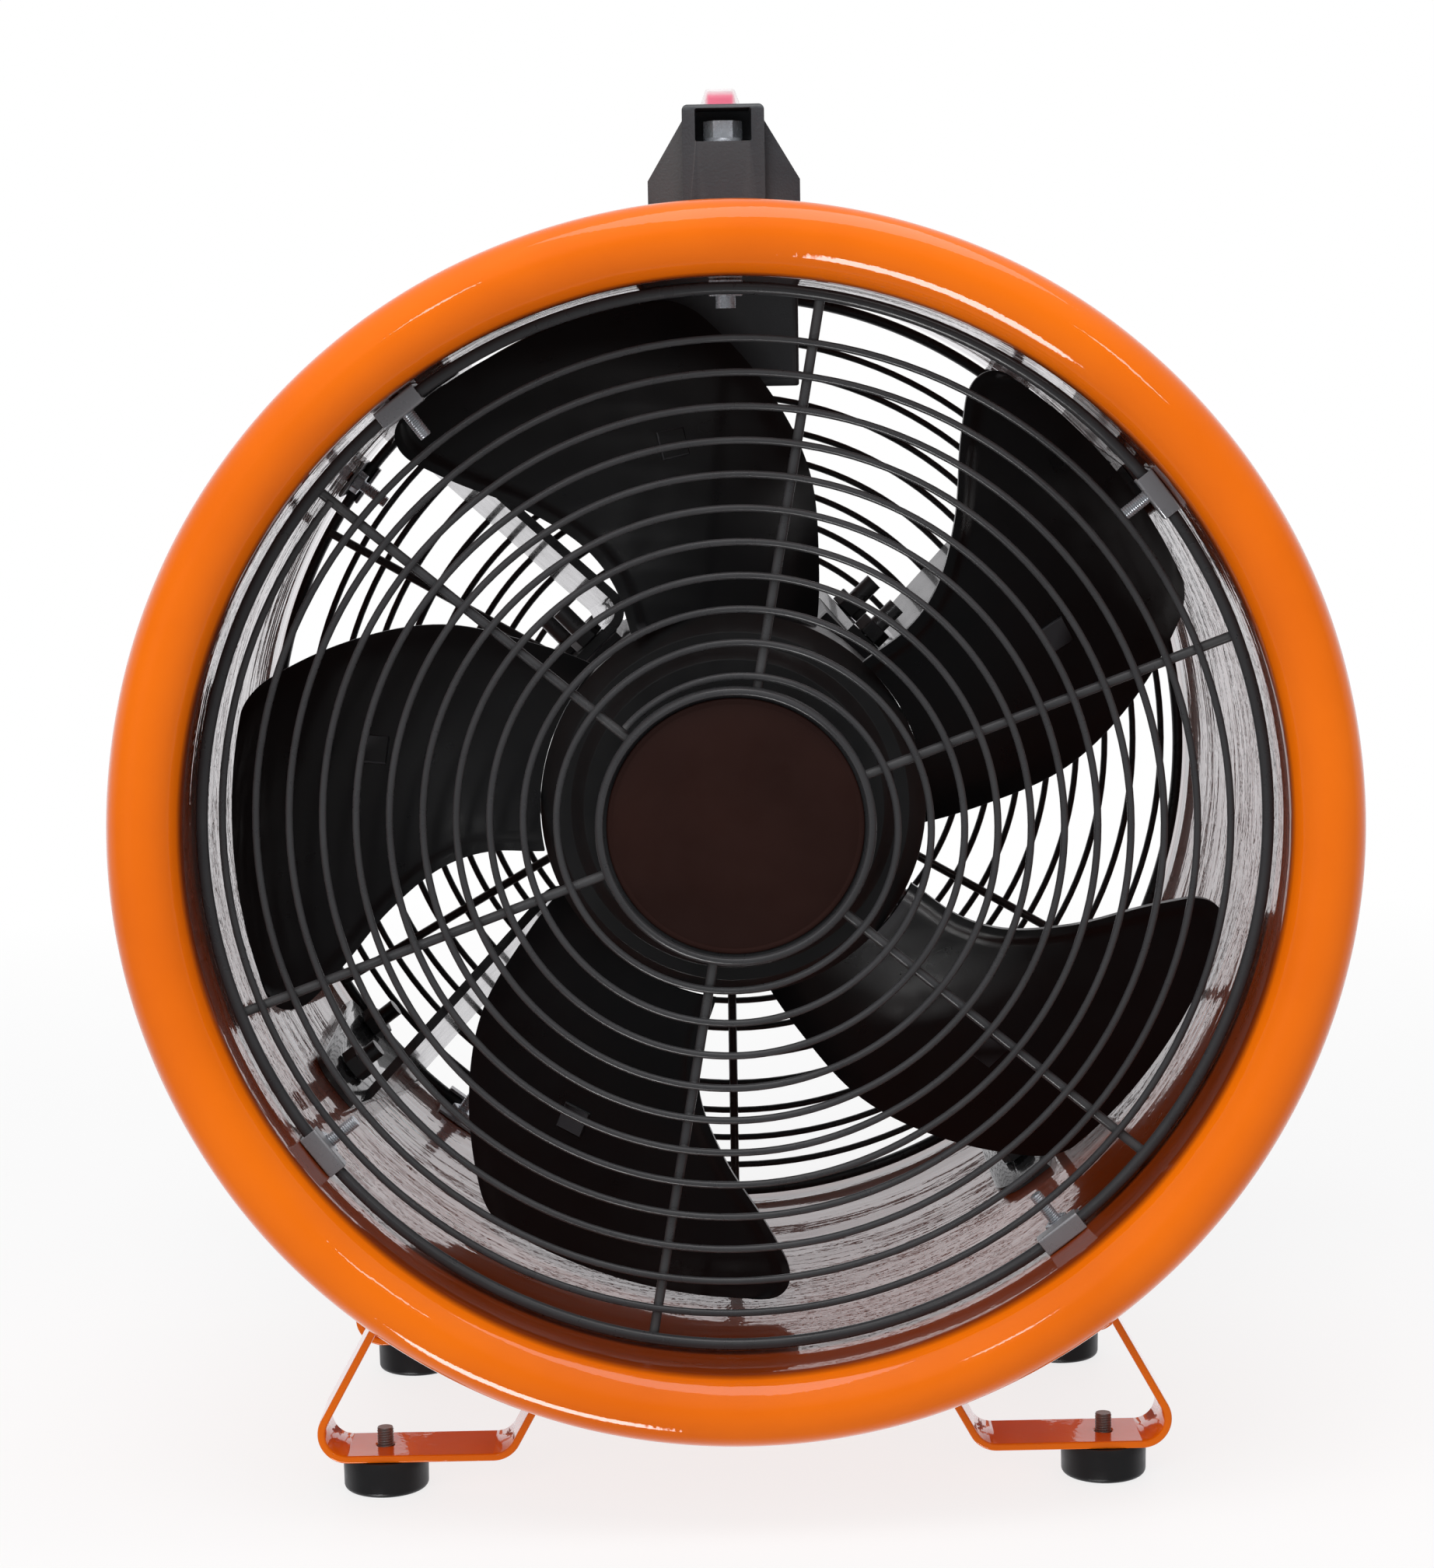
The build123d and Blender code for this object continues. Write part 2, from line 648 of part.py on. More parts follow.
def make_struts():
    """Leaning flat bars from the motor to the tube, each ending in a bolted foot on the tube."""
    outer_r = BORE_R - 0.1
    inner_r = outer_r - STRUT_SHEET
    tab_line_r = MOTOR_PAD_R + 0.1 + STRUT_SHEET / 2
    corner, tab_end = tab_corner(tab_line_r)
    first = STRUT_TURN - 4.2
    last = STRUT_END[1] + 8
    middle = (first + last) / 2
    bar_depth = STRUT_BACK - STRUT_FRONT
    foot_depth = STRUT_FOOT[1] - STRUT_FOOT[0]
    lean = STRUT_LEAN / bar_depth
    for number, turn in enumerate(quarter_turns(0), start=1):
        side = radial(STRUT_TAB_TURN + turn + 90)
        run = Vector(side.X * lean, 1, side.Z * lean)
        with BuildPart() as strut:
            with BuildSketch(cross_plane(STRUT_FOOT[1], turn)):
                with BuildLine():
                    ThreePointArc(polar(outer_r, first), polar(outer_r, middle), polar(outer_r, last))
                    Line(polar(outer_r, last), polar(inner_r, last))
                    ThreePointArc(polar(inner_r, last), polar(inner_r, middle), polar(inner_r, first))
                    Line(polar(inner_r, first), polar(outer_r, first))
                make_face()
            extrude(amount=foot_depth)
            back_step = run * (STRUT_FOOT[0] - STRUT_FRONT)
            plane = cross_plane(STRUT_FRONT, turn)
            plane.origin = plane.origin + back_step
            with BuildSketch(plane) as beside:
                with BuildLine():
                    Polyline(*beside_bar(), close=True)
                make_face()
            extrude(beside.sketch, amount=foot_depth * run.length, dir=run, mode=Mode.SUBTRACT)
            with BuildSketch(cross_plane(STRUT_FRONT, turn)) as bar:
                with BuildLine():
                    FilletPolyline(polar(*STRUT_END), corner, tab_end, radius=STRUT_BEND)
                trace(line_width=STRUT_SHEET)
            extrude(bar.sketch, amount=bar_depth * run.length, dir=run)
            with BuildSketch(cross_plane(STRUT_BACK + 30, turn)):
                Circle(outer_r + 40)
                Circle(outer_r, mode=Mode.SUBTRACT)
            extrude(amount=120, mode=Mode.SUBTRACT)
            fillet(strut.edges().filter_by(lambda edge: is_foot_corner(edge, first + turn)), 9)
            drill_radially(STRUT_BOLTS, [STRUT_TURN + turn], M6_R + 0.3, outer_r - 8, outer_r + 8)
            for depth, shift in STRUT_STUDS:
                drill_radially([depth], [STRUT_TAB_TURN + turn], M6_R + 0.3,
                               MOTOR_PAD_R - 2, MOTOR_PAD_R + 6, shift=shift)
        save(strut, f"motor_strut_{number}")


def beside_bar():
    """Corners of the area next to the bar's outer end, on the side it leans towards."""
    end, root = polar(*STRUT_END), polar(*STRUT_ROOT)
    length = math.hypot(end[0] - root[0], end[1] - root[1])
    along = ((end[0] - root[0]) / length, (end[1] - root[1]) / length)
    across = (-along[1], along[0])
    corners = []
    for forward, sideways in ((-30, 0), (30, 0), (30, 40), (-30, 40)):
        offset = sideways + STRUT_SHEET / 2
        corners.append((
            end[0] + along[0] * forward + across[0] * offset,
            end[1] + along[1] * forward + across[1] * offset,
        ))
    return corners


def tab_corner(line_r):
    """Corner and end of the strut's middle line where it turns to lie flat on the motor's pad."""
    normal = polar(1, STRUT_TAB_TURN)
    end, root = polar(*STRUT_END), polar(*STRUT_ROOT)
    run = (root[0] - end[0], root[1] - end[1])
    reach = line_r - (end[0] * normal[0] + end[1] * normal[1])
    share = reach / (run[0] * normal[0] + run[1] * normal[1])
    corner = (end[0] + run[0] * share, end[1] + run[1] * share)
    tab_end = (corner[0] - normal[1] * STRUT_TAB_LENGTH, corner[1] + normal[0] * STRUT_TAB_LENGTH)
    return corner, tab_end


def is_foot_corner(edge, turn):
    """True for the short edges across the sheet at the corners of a foot's free long side."""
    middle = edge.center()
    depth = middle.Y + LENGTH / 2
    at_end = min(abs(depth - STRUT_FOOT[0]), abs(depth - STRUT_FOOT[1])) < 0.1
    out = radial(turn)
    off_side = abs(middle.X * out.Z - (middle.Z - AXIS_Z) * out.X)
    return at_end and edge.length < STRUT_SHEET + 0.5 and off_side < 0.5


def make_strut_fixings():
    """Bolts through the tube, studs in the motor's pads, and the nuts on all of them."""
    foot_r = BORE_R - 0.1 - STRUT_SHEET - 0.4
    tab_r = MOTOR_PAD_R + 0.1 + STRUT_SHEET + 0.1
    with BuildPart() as bolts:
        for depth in STRUT_BOLTS:
            for turn in quarter_turns(STRUT_TURN):
                plane = spoke_plane(SHELL_R + 0.15, depth, turn)
                with BuildSketch(plane):
                    RegularPolygon(M6_FLATS / 2, 6, major_radius=False)
                extrude(amount=4)
                with BuildSketch(plane.offset(0.2)):
                    Circle(M6_R)
                extrude(amount=-16.2)
    save(bolts, "strut_bolts")
    with BuildPart() as studs:
        for depth, shift in STRUT_STUDS:
            for turn in quarter_turns(STRUT_TAB_TURN):
                with BuildSketch(spoke_plane(MOTOR_R - MOTOR_WALL + 0.5, depth, turn)):
                    with Locations((shift, 0)):
                        Circle(M6_R)
                extrude(amount=22)
    save(studs, "strut_studs")
    with BuildPart() as nuts:
        for turn in quarter_turns(0):
            for depth in STRUT_BOLTS:
                with BuildSketch(spoke_plane(foot_r - 5, depth, STRUT_TURN + turn)):
                    RegularPolygon(M6_FLATS / 2, 6, major_radius=False)
                    Circle(M6_R + CLEAR, mode=Mode.SUBTRACT)
                extrude(amount=5)
            for depth, shift in STRUT_STUDS:
                with BuildSketch(spoke_plane(tab_r, depth, STRUT_TAB_TURN + turn)):
                    with Locations((shift, 0)):
                        RegularPolygon(M6_FLATS / 2, 6, major_radius=False)
                        Circle(M6_R + CLEAR, mode=Mode.SUBTRACT)
                extrude(amount=5)
    save(nuts, "strut_nuts")


def leg_line(foot_x, height):
    """Point on a leg's middle line at a height above the floor, leaning in towards the duct."""
    return (foot_x - (height - LEG_BOTTOM - LEG_SHEET / 2) / math.tan(math.radians(LEG_SLOPE)), height)


def meet_tube(foot_x):
    """Where a leg's middle line reaches the tube."""
    reach = SHELL_R + CLEAR + LEG_SHEET / 2
    height = LEG_BOTTOM
    while math.hypot(leg_line(foot_x, height)[0], leg_line(foot_x, height)[1] - AXIS_Z) > reach:
        height += 0.02
    return leg_line(foot_x, height)


def tube_point(turn):
    """Point on the middle of a strap that lies on the tube, in the plane of the legs."""
    x, up = polar(SHELL_R + CLEAR + LEG_SHEET / 2, turn)
    return (x, AXIS_Z + up)


def make_legs():
    """Bent strap feet: a flat base, two leaning sides and two tabs welded round the tube."""
    base = LEG_BOTTOM + LEG_SHEET / 2
    outer_top = meet_tube(LEG_OUTER_X)
    inner_top = meet_tube(LEG_INNER_X)
    outer_turn = math.degrees(math.atan2(outer_top[1] - AXIS_Z, outer_top[0]))
    inner_turn = math.degrees(math.atan2(inner_top[1] - AXIS_Z, inner_top[0]))
    for side_name, side in (("left", -1), ("right", 1)):
        for mouth in ("front", "rear"):
            y = -LENGTH / 2 + LEG_DEPTH if mouth == "front" else LENGTH / 2 - LEG_DEPTH
            plane = Plane(origin=(0, y, 0), x_dir=(side, 0, 0), z_dir=(0, -side, 0))
            with BuildPart() as leg:
                with BuildSketch(plane):
                    with BuildLine():
                        FilletPolyline(
                            outer_top,
                            (LEG_OUTER_X, base),
                            (LEG_INNER_X, base),
                            inner_top,
                            radius=LEG_BEND,
                        )
                        ThreePointArc(outer_top, tube_point(outer_turn + 4), tube_point(outer_turn + 8))
                        ThreePointArc(inner_top, tube_point(inner_turn - 4), tube_point(inner_turn - 8))
                    trace(line_width=LEG_SHEET)
                    with Locations((0, AXIS_Z)):
                        Circle(SHELL_R + CLEAR, mode=Mode.SUBTRACT)
                extrude(amount=LEG_WIDTH / 2, both=True)
                with BuildSketch(Plane(origin=(side * FOOT_X, y, base))):
                    Circle(STUD_R + 0.1)
                extrude(amount=LEG_SHEET, both=True, mode=Mode.SUBTRACT)
            save(leg, f"{mouth}_{side_name}_leg")
    with BuildPart() as feet:
        for x, y in foot_places():
            with BuildSketch(Plane(origin=(x, y, 0))) as sole:
                Circle(FOOT_R)
            extrude(sole.sketch, amount=LEG_BOTTOM - CLEAR, taper=-1)
        fillet(feet.edges().group_by(Axis.Z)[0], 1.8)
        for x, y in foot_places():
            with BuildSketch(Plane(origin=(x, y, 4))) as socket:
                Circle(STUD_R + 0.02)
            extrude(socket.sketch, amount=10, mode=Mode.SUBTRACT)
    save(feet, "rubber_feet")
    with BuildPart() as studs:
        top = LEG_BOTTOM + LEG_SHEET + STUD_RISE
        for x, y in foot_places():
            with BuildSketch(Plane(origin=(x, y, 4.1))):
                Circle(STUD_R)
            extrude(amount=top - 4.1)
        chamfer(studs.faces().group_by(Axis.Z)[-1].edges(), 0.6)
    save(studs, "foot_studs")


def foot_places():
    """Where the four feet stand."""
    return [(x, y) for x in (-FOOT_X, FOOT_X) for y in (LEG_DEPTH - LENGTH / 2, LENGTH / 2 - LEG_DEPTH)]


def make_handle():
    """Hollow grip on two posts with side gussets, each post bolted down through a recess."""
    base_z = AXIS_Z + SHELL_R - 12
    grip_bottom = HANDLE_TOP - GRIP_DEPTH
    gap_half = HANDLE_HALF - POST_LENGTH
    with BuildPart() as body:
        with BuildSketch(Plane.YZ):
            with BuildLine():
                Polyline(
                    (-HANDLE_HALF, base_z),
                    (-HANDLE_HALF, HANDLE_TOP),
                    (HANDLE_HALF, HANDLE_TOP),
                    (HANDLE_HALF, base_z),
                    close=True,
                )
            make_face()
            with BuildLine():
                Polyline(
                    (-gap_half, base_z - 1),
                    (-gap_half, grip_bottom),
                    (gap_half, grip_bottom),
                    (gap_half, base_z - 1),
                    close=True,
                )
            make_face(mode=Mode.SUBTRACT)
        extrude(amount=HANDLE_WIDTH / 2, both=True)
        fillet(body.edges().filter_by(Axis.X).group_by(Axis.Z)[1], 9)
        fillet(body.faces().sort_by(Axis.Z)[-1].edges(), 1.8)
        for side in (-1, 1):
            near = side * (HANDLE_HALF - GUSSET_SET_BACK)
            with BuildSketch(Plane(origin=(0, near, 0), x_dir=(side, 0, 0), z_dir=(0, -side, 0))):
                with BuildLine():
                    Polyline(
                        (-GUSSET_WIDTH / 2, base_z),
                        (-GUSSET_WIDTH / 2, GUSSET_SHOULDER),
                        (-HANDLE_WIDTH / 2, GUSSET_TOP),
                        (HANDLE_WIDTH / 2, GUSSET_TOP),
                        (GUSSET_WIDTH / 2, GUSSET_SHOULDER),
                        (GUSSET_WIDTH / 2, base_z),
                        close=True,
                    )
                make_face()
            extrude(amount=POST_LENGTH - 2 * GUSSET_SET_BACK)
        for side in (-1, 1):
            with BuildSketch(Plane(origin=(0, side * (HANDLE_HALF + 1), 0), x_dir=(side, 0, 0),
                                   z_dir=(0, -side, 0))):
                with Locations((0, (RECESS_FLOOR + RECESS_ROOF) / 2)):
                    RectangleRounded(RECESS_WIDTH, RECESS_ROOF - RECESS_FLOOR, 0.6)
            extrude(amount=HANDLE_HALF + 1 - BOLT_Y + 7.5, mode=Mode.SUBTRACT)
            with BuildSketch(Plane(origin=(0, side * BOLT_Y, RECESS_FLOOR - 60))):
                Circle(M6_R + 0.3)
            extrude(amount=61, mode=Mode.SUBTRACT)
        cavity_length = LEAD_Y + 3.5 + 40
        cavity_middle = (LEAD_Y + 3.5 - 40) / 2
        with BuildSketch(Plane(origin=(0, cavity_middle, HANDLE_TOP - 3))):
            RectangleRounded(17.2, cavity_length, 3)
        extrude(amount=-(GRIP_DEPTH - 3 - 5.5), mode=Mode.SUBTRACT)
        with BuildSketch(Plane(origin=(0, 0, grip_bottom - 1))):
            RectangleRounded(15.2, 74, 2)
        extrude(amount=10, mode=Mode.SUBTRACT)
        with BuildSketch(Plane(origin=(0, 0, grip_bottom - 1))):
            RectangleRounded(19.2, 78, 3)
        extrude(amount=3.6, mode=Mode.SUBTRACT)
        with BuildSketch(Plane(origin=(0, LEAD_Y, base_z - 1))):
            Circle(LEAD_R + 0.6)
        extrude(amount=HANDLE_TOP - base_z - 10, mode=Mode.SUBTRACT)
        with BuildSketch(Plane(origin=(0, 0, HANDLE_TOP - 6))):
            Rectangle(SWITCH_BODY[0] + 0.3, SWITCH_BODY[1] + 0.3)
        extrude(amount=8, mode=Mode.SUBTRACT)
        with BuildSketch(cross_plane(LENGTH)):
            Circle(SHELL_R + CLEAR)
        extrude(amount=LENGTH, mode=Mode.SUBTRACT)
    save(body, "handle_body")

    with BuildPart() as cover:
        with BuildSketch(Plane(origin=(0, 0, grip_bottom))):
            RectangleRounded(18.8, 77.6, 2.8)
            with GridLocations(0, 68, 1, 2):
                Circle(1.4, mode=Mode.SUBTRACT)
        extrude(amount=2.4)
    save(cover, "handle_cover")

    with BuildPart() as bolts:
        for y in (-BOLT_Y, BOLT_Y):
            with BuildSketch(Plane(origin=(0, y, RECESS_FLOOR + 0.05))):
                Circle(6.1)
            extrude(amount=1.3, taper=20)
            with BuildSketch(Plane(origin=(0, y, RECESS_FLOOR + 1.1))):
                RegularPolygon(5, 6, major_radius=False)
            extrude(amount=5.2)
            with BuildSketch(Plane(origin=(0, y, RECESS_FLOOR + 0.3))):
                Circle(M6_R)
            extrude(amount=-(RECESS_FLOOR - AXIS_Z - 151.5))
    save(bolts, "handle_bolts")

    with BuildPart() as nuts:
        for y in (-BOLT_Y, BOLT_Y):
            with BuildSketch(Plane(origin=(0, y, AXIS_Z + BORE_R - 0.15))):
                RegularPolygon(5, 6, major_radius=False, rotation=30)
                Circle(M6_R + CLEAR, mode=Mode.SUBTRACT)
            extrude(amount=-5)
    save(nuts, "handle_nuts")


def make_lead():
    """Motor lead: straight down from the handle, through a grommet, into the motor's gland."""
    with BuildPart() as grommet:
        with BuildSketch(Plane(origin=(0, LEAD_Y, AXIS_Z + BORE_R - 2.4))):
            Circle(LEAD_R + 3.4)
            Circle(LEAD_R + CLEAR, mode=Mode.SUBTRACT)
        extrude(amount=2.2)
        with BuildSketch(Plane(origin=(0, LEAD_Y, AXIS_Z + BORE_R - 2.2))):
            Circle(LEAD_R + 1.5)
            Circle(LEAD_R + CLEAR, mode=Mode.SUBTRACT)
        extrude(amount=3.2)
    save(grommet, "lead_grommet")

    seat = AXIS_Z + MOTOR_R + 8.05
    with BuildPart() as gland:
        with BuildSketch(Plane(origin=(0, LEAD_Y, seat))):
            RegularPolygon(8, 6, major_radius=False)
            Circle(LEAD_R + CLEAR, mode=Mode.SUBTRACT)
        extrude(amount=5)
        with BuildSketch(Plane(origin=(0, LEAD_Y, seat + 5))):
            Circle(6.8)
            Circle(LEAD_R + CLEAR, mode=Mode.SUBTRACT)
        extrude(amount=6)
        fillet(gland.faces().sort_by(Axis.Z)[-1].edges().sort_by(SortBy.RADIUS)[-1], 1.5)
    save(gland, "lead_gland")

    with BuildPart() as lead:
        with BuildSketch(Plane(origin=(0, LEAD_Y, AXIS_Z + MOTOR_R + 1))):
            Circle(LEAD_R)
        extrude(amount=HANDLE_TOP - 12 - AXIS_Z - MOTOR_R - 1)
    save(lead, "motor_lead")


def make_terminal_box():
    """Box against the top of the tube, its lid underneath, and the motor's run capacitor in it."""
    width = BOX_RIGHT - BOX_LEFT
    middle_x = (BOX_LEFT + BOX_RIGHT) / 2
    length = BOX_BACK - BOX_FRONT
    middle_y = (BOX_FRONT + BOX_BACK - LENGTH) / 2
    floor_z = AXIS_Z + BOX_FLOOR_R
    with BuildPart() as box:
        with BuildSketch(Plane(origin=(middle_x, middle_y, floor_z + BOX_LID + CLEAR))):
            RectangleRounded(width, length, 2)
        extrude(amount=40)
        with BuildSketch(Plane(origin=(middle_x, middle_y, floor_z))):
            RectangleRounded(width - 2 * BOX_WALL, length - 2 * BOX_WALL, 1)
        extrude(amount=156 - BOX_FLOOR_R - BOX_WALL, mode=Mode.SUBTRACT)
        with BuildSketch(cross_plane(LENGTH)):
            Circle(BORE_R + 60)
            Circle(BORE_R - 0.1, mode=Mode.SUBTRACT)
        extrude(amount=LENGTH, mode=Mode.SUBTRACT)
        with BuildSketch(Plane(origin=(0, LEAD_Y, floor_z))):
            Circle(LEAD_R + 3.8)
        extrude(amount=60, mode=Mode.SUBTRACT)
    save(box, "terminal_box")

    with BuildPart() as lid:
        with BuildSketch(Plane(origin=(middle_x, middle_y, floor_z))):
            RectangleRounded(width, length, 2)
        extrude(amount=BOX_LID)
        fillet(lid.faces().sort_by(Axis.Z)[0].edges(), 0.8)
        with BuildSketch(Plane(origin=(0, LEAD_Y, floor_z - 1))):
            Circle(LEAD_R + 0.8)
        extrude(amount=BOX_LID + 2, mode=Mode.SUBTRACT)
    save(lid, "terminal_box_lid")

    with BuildPart() as capacitor:
        with BuildSketch(Plane(origin=(middle_x, BOX_FRONT - LENGTH / 2 + 30, floor_z + BOX_LID + 2))):
            RectangleRounded(CAPACITOR[0], CAPACITOR[1], 3)
        extrude(amount=CAPACITOR[2])
        fillet(capacitor.faces().sort_by(Axis.Z)[-1].edges(), 1.5)
    save(capacitor, "run_capacitor")


def make_switch():
    """Rocker in a panel housing, covered by a soft clear boot that leaves it room to tip."""
    rocker_gap = (ROCKER_WIDTH + 0.8, ROCKER_LENGTH + 1.6)
    with BuildPart() as housing:
        with BuildSketch(Plane(origin=(0, 0, HANDLE_TOP + CLEAR))):
            RectangleRounded(SWITCH_BEZEL[0], SWITCH_BEZEL[1], 1.5)
        extrude(amount=SWITCH_BEZEL[2])
        with BuildSketch(Plane(origin=(0, 0, HANDLE_TOP + 0.2))):
            Rectangle(*SWITCH_BODY)
        extrude(amount=-SWITCH_BODY_DROP)
        with BuildSketch(Plane(origin=(0, 0, HANDLE_TOP - 7))):
            Rectangle(*rocker_gap)
        extrude(amount=12, mode=Mode.SUBTRACT)
        with BuildSketch(Plane(origin=(0, 0, ROCKER_PIVOT_Z), x_dir=(0, 1, 0), z_dir=(1, 0, 0))):
            Circle(1.25)
        extrude(amount=5, both=True, mode=Mode.SUBTRACT)
    save(housing, "switch_housing")

    with BuildPart() as rocker:
        with BuildSketch(Plane(origin=(0, 0, ROCKER_PIVOT_Z), x_dir=rocker_x(), z_dir=(1, 0, 0))):
            with BuildLine():
                half = ROCKER_LENGTH / 2
                Line((-half, 6.4), (-half + 1.2, -1.5))
                Line((-half + 1.2, -1.5), (-2.2, -3.6))
                Line((-2.2, -3.6), (2.2, -3.6))
                Line((2.2, -3.6), (half - 1.2, -1.5))
                Line((half - 1.2, -1.5), (half, 6.4))
                ThreePointArc((half, 6.4), (0, 5.2), (-half, 6.4))
            make_face()
        extrude(amount=ROCKER_WIDTH / 2, both=True)
        with BuildSketch(Plane(origin=(0, 0, ROCKER_PIVOT_Z), x_dir=(0, 1, 0), z_dir=(1, 0, 0))):
            Circle(1.2)
        extrude(amount=4.9, both=True)
    save(rocker, "switch_rocker")

    seat = HANDLE_TOP + CLEAR + SWITCH_BEZEL[2] + CLEAR
    height = BOOT_TOP_Z - seat
    with BuildPart() as boot:
        with BuildSketch(Plane(origin=(0, 0, seat))):
            RectangleRounded(SWITCH_BEZEL[0] - 0.4, SWITCH_BEZEL[1] - 0.4, 1.4)
        with BuildSketch(Plane(origin=(0, 0, BOOT_TOP_Z))):
            RectangleRounded(9.0, 18.0, 1.4)
        loft()
        fillet(boot.faces().sort_by(Axis.Z)[-1].edges(), 0.8)
        with BuildSketch(Plane(origin=(0, 0, seat - 0.01))):
            RectangleRounded(SWITCH_BEZEL[0] - 0.4 - 2.2, SWITCH_BEZEL[1] - 0.4 - 2.2, 1.0)
        with BuildSketch(Plane(origin=(0, 0, BOOT_TOP_Z - BOOT_WALL))):
            RectangleRounded(9.0 - 2 * BOOT_WALL, 18.0 - 2 * BOOT_WALL, 0.9)
        loft(mode=Mode.SUBTRACT)
    save(boot, "switch_boot")


def rocker_x():
    """Direction of the tipped rocker's length: its front end stands up when the switch is off."""
    angle = math.radians(-ROCKER_TILT)
    return (0, math.cos(angle), math.sin(angle))


os.makedirs("parts", exist_ok=True)
make_duct_shell()
make_duct_seam()
make_grille("front", FRONT_SPOKES)
make_grille("rear", REAR_SPOKES)
make_badge()
make_clips()
make_clip_screws()
make_hub()
for blade_number in range(BLADES):
    make_blade(blade_number + 1, BLADE_TURN + 360 / BLADES * blade_number)
make_impeller_fixings()
make_shaft()
make_motor()
make_struts()
make_strut_fixings()
make_legs()
make_handle()
make_lead()
make_terminal_box()
make_switch()
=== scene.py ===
import math
import random

import bmesh
import bpy
from mathutils import Matrix, Vector


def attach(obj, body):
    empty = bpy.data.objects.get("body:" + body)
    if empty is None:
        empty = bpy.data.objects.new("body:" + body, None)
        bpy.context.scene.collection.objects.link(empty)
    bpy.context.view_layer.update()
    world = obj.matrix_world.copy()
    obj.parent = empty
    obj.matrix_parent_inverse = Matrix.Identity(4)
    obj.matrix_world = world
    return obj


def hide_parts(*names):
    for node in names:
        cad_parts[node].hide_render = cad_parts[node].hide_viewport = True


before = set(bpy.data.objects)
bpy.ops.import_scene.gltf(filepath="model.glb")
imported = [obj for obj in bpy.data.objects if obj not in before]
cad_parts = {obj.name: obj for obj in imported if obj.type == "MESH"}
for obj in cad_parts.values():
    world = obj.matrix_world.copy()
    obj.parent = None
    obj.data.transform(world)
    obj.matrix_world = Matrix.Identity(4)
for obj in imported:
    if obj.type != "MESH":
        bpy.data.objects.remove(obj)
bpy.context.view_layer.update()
random.seed(7)

# Millimetres, as in the part: depth is measured back from the front mouth
MM = 0.001
LENGTH = 250.0
AXIS_Z = 210.0
BORE_R = 160.5
SHELL_R = 161.7
SHEET = 1.2
RIM_R = 182.4
FLARE_R = 12.0
ROLL_R = RIM_R - BORE_R - FLARE_R
SKIRT = 14.4
LIP_R = 0.3
RING_R = 157.4
RING_DEPTH = 30.0
RING_WIRE_R = 1.8
SPOKE_DEPTH = 33.3
SPOKE_WIRE_R = 1.5
SPIRAL_DEPTH = 30.7
SPIRAL_WIRE_R = 1.1
SPIRAL_START_R = 152.0
SPIRAL_PITCH = 9.85
SPIRAL_HALF_TURNS = 22
SPIRAL_TURN = 140.0
FRONT_SPOKES = 20.0
REAR_SPOKES = 30.0
FRONT_CLIP_TURN = 37.5
REAR_CLIP_TURN = 52.5
BLADE_ROOT_R = 59.6
BLADE_TIP_R = 156.0
BLADE_SHEET = 2.6
BLADE_TURN = 30.7
BLADE_CAMBER = 4.0
BLADE_SECTIONS = (
    (44, 79.5, 0.455, -46, 26),
    (80, 80.5, 0.365, -55, 31),
    (120, 87.2, 0.240, -50, 72),
    (160, 93.0, 0.180, -28, 116),
)
TRAILING_EDGE = ((BLADE_ROOT_R, -9.0), (80, -2.6), (105, 3.9), (130, 12.9), (BLADE_TIP_R, 23.0))
LEADING_EDGE = (
    (BLADE_ROOT_R, 47.8),
    (75, 45.2),
    (90, 46.3),
    (110, 51.5),
    (130, 57.2),
    (BLADE_TIP_R, 61.7),
)
TIP_ROUND_LEADING = 14.0
TIP_ROUND_TRAILING = 6.0
PAD_SPOT = (-8.0, 112.0)
PAD_R = 6.2
PAD_HEIGHT = 1.6
CLIP_SCREW_DEPTH = 41.0
CLIP_SCREW_R = 2.0
CLIP_SCREW_PITCH = 0.7
CLIP_SCREW_START_R = 161.9
CLIP_SCREW_TIP_R = 146.0
SCREW_HEAD = ((3.8, 0), (3.8, 0.6), (3.5, 1.4), (2.8, 2.1), (1.6, 2.4), (0.2, 2.42))
FOOT_X = 111.8
LEG_DEPTH = 61.8
LEG_BOTTOM = 11.0
LEG_SHEET = 2.4
STUD_R = 2.6
STUD_PITCH = 0.8
STUD_BOTTOM = 4.2
STUD_RISE = 5.6

# How finely the round pieces are divided
DUCT_SIDES = 512
DISH_SIDES = 128
RING_SIDES = 288
ARC_STEPS = 72
BLADE_ROWS = 34
BLADE_TIP_ROWS = 15
BLADE_COLUMNS = 44

# Colours
ORANGE_DEEP = (0.68, 0.120, 0.0005)
ORANGE_LIGHT = (0.78, 0.150, 0.001)
# The edge colour is a painted highlight: sharp convex edges are drawn lighter, as if catching light
ORANGE_EDGE_HIGHLIGHT = (0.92, 0.34, 0.06)
# The bore colour is painted shade: the tube's inside is drawn darker, as if in shadow
ORANGE_BORE_SHADE = (0.22, 0.030, 0.001)
MILK_DARK = (0.80, 0.76, 0.77)
MILK_LIGHT = (0.92, 0.88, 0.89)
BOOT_PINK = (0.84, 0.20, 0.30)
PAPER_DARK = (0.80, 0.80, 0.80)
PAPER_LIGHT = (0.84, 0.84, 0.84)
WHITE = (1.0, 1.0, 1.0)

# Where the rocker shows through its boot, in metres from the middle and from the floor
ROCKER_SIDE = (0.0036, 0.0050)
BOOT_TOP = (0.4278, 0.4296)

# Light from the room, by direction from the object
ROOM_FRONT = (0.11, 0.11, 0.115)
ROOM_BACK = (0.95, 0.94, 0.96)
ROOM_TOP = (0.42, 0.42, 0.43)
BACK_STARTS = (-0.2, 0.75)
TOP_STARTS = (0.25, 0.9)
AHEAD = (-0.4, -0.3)
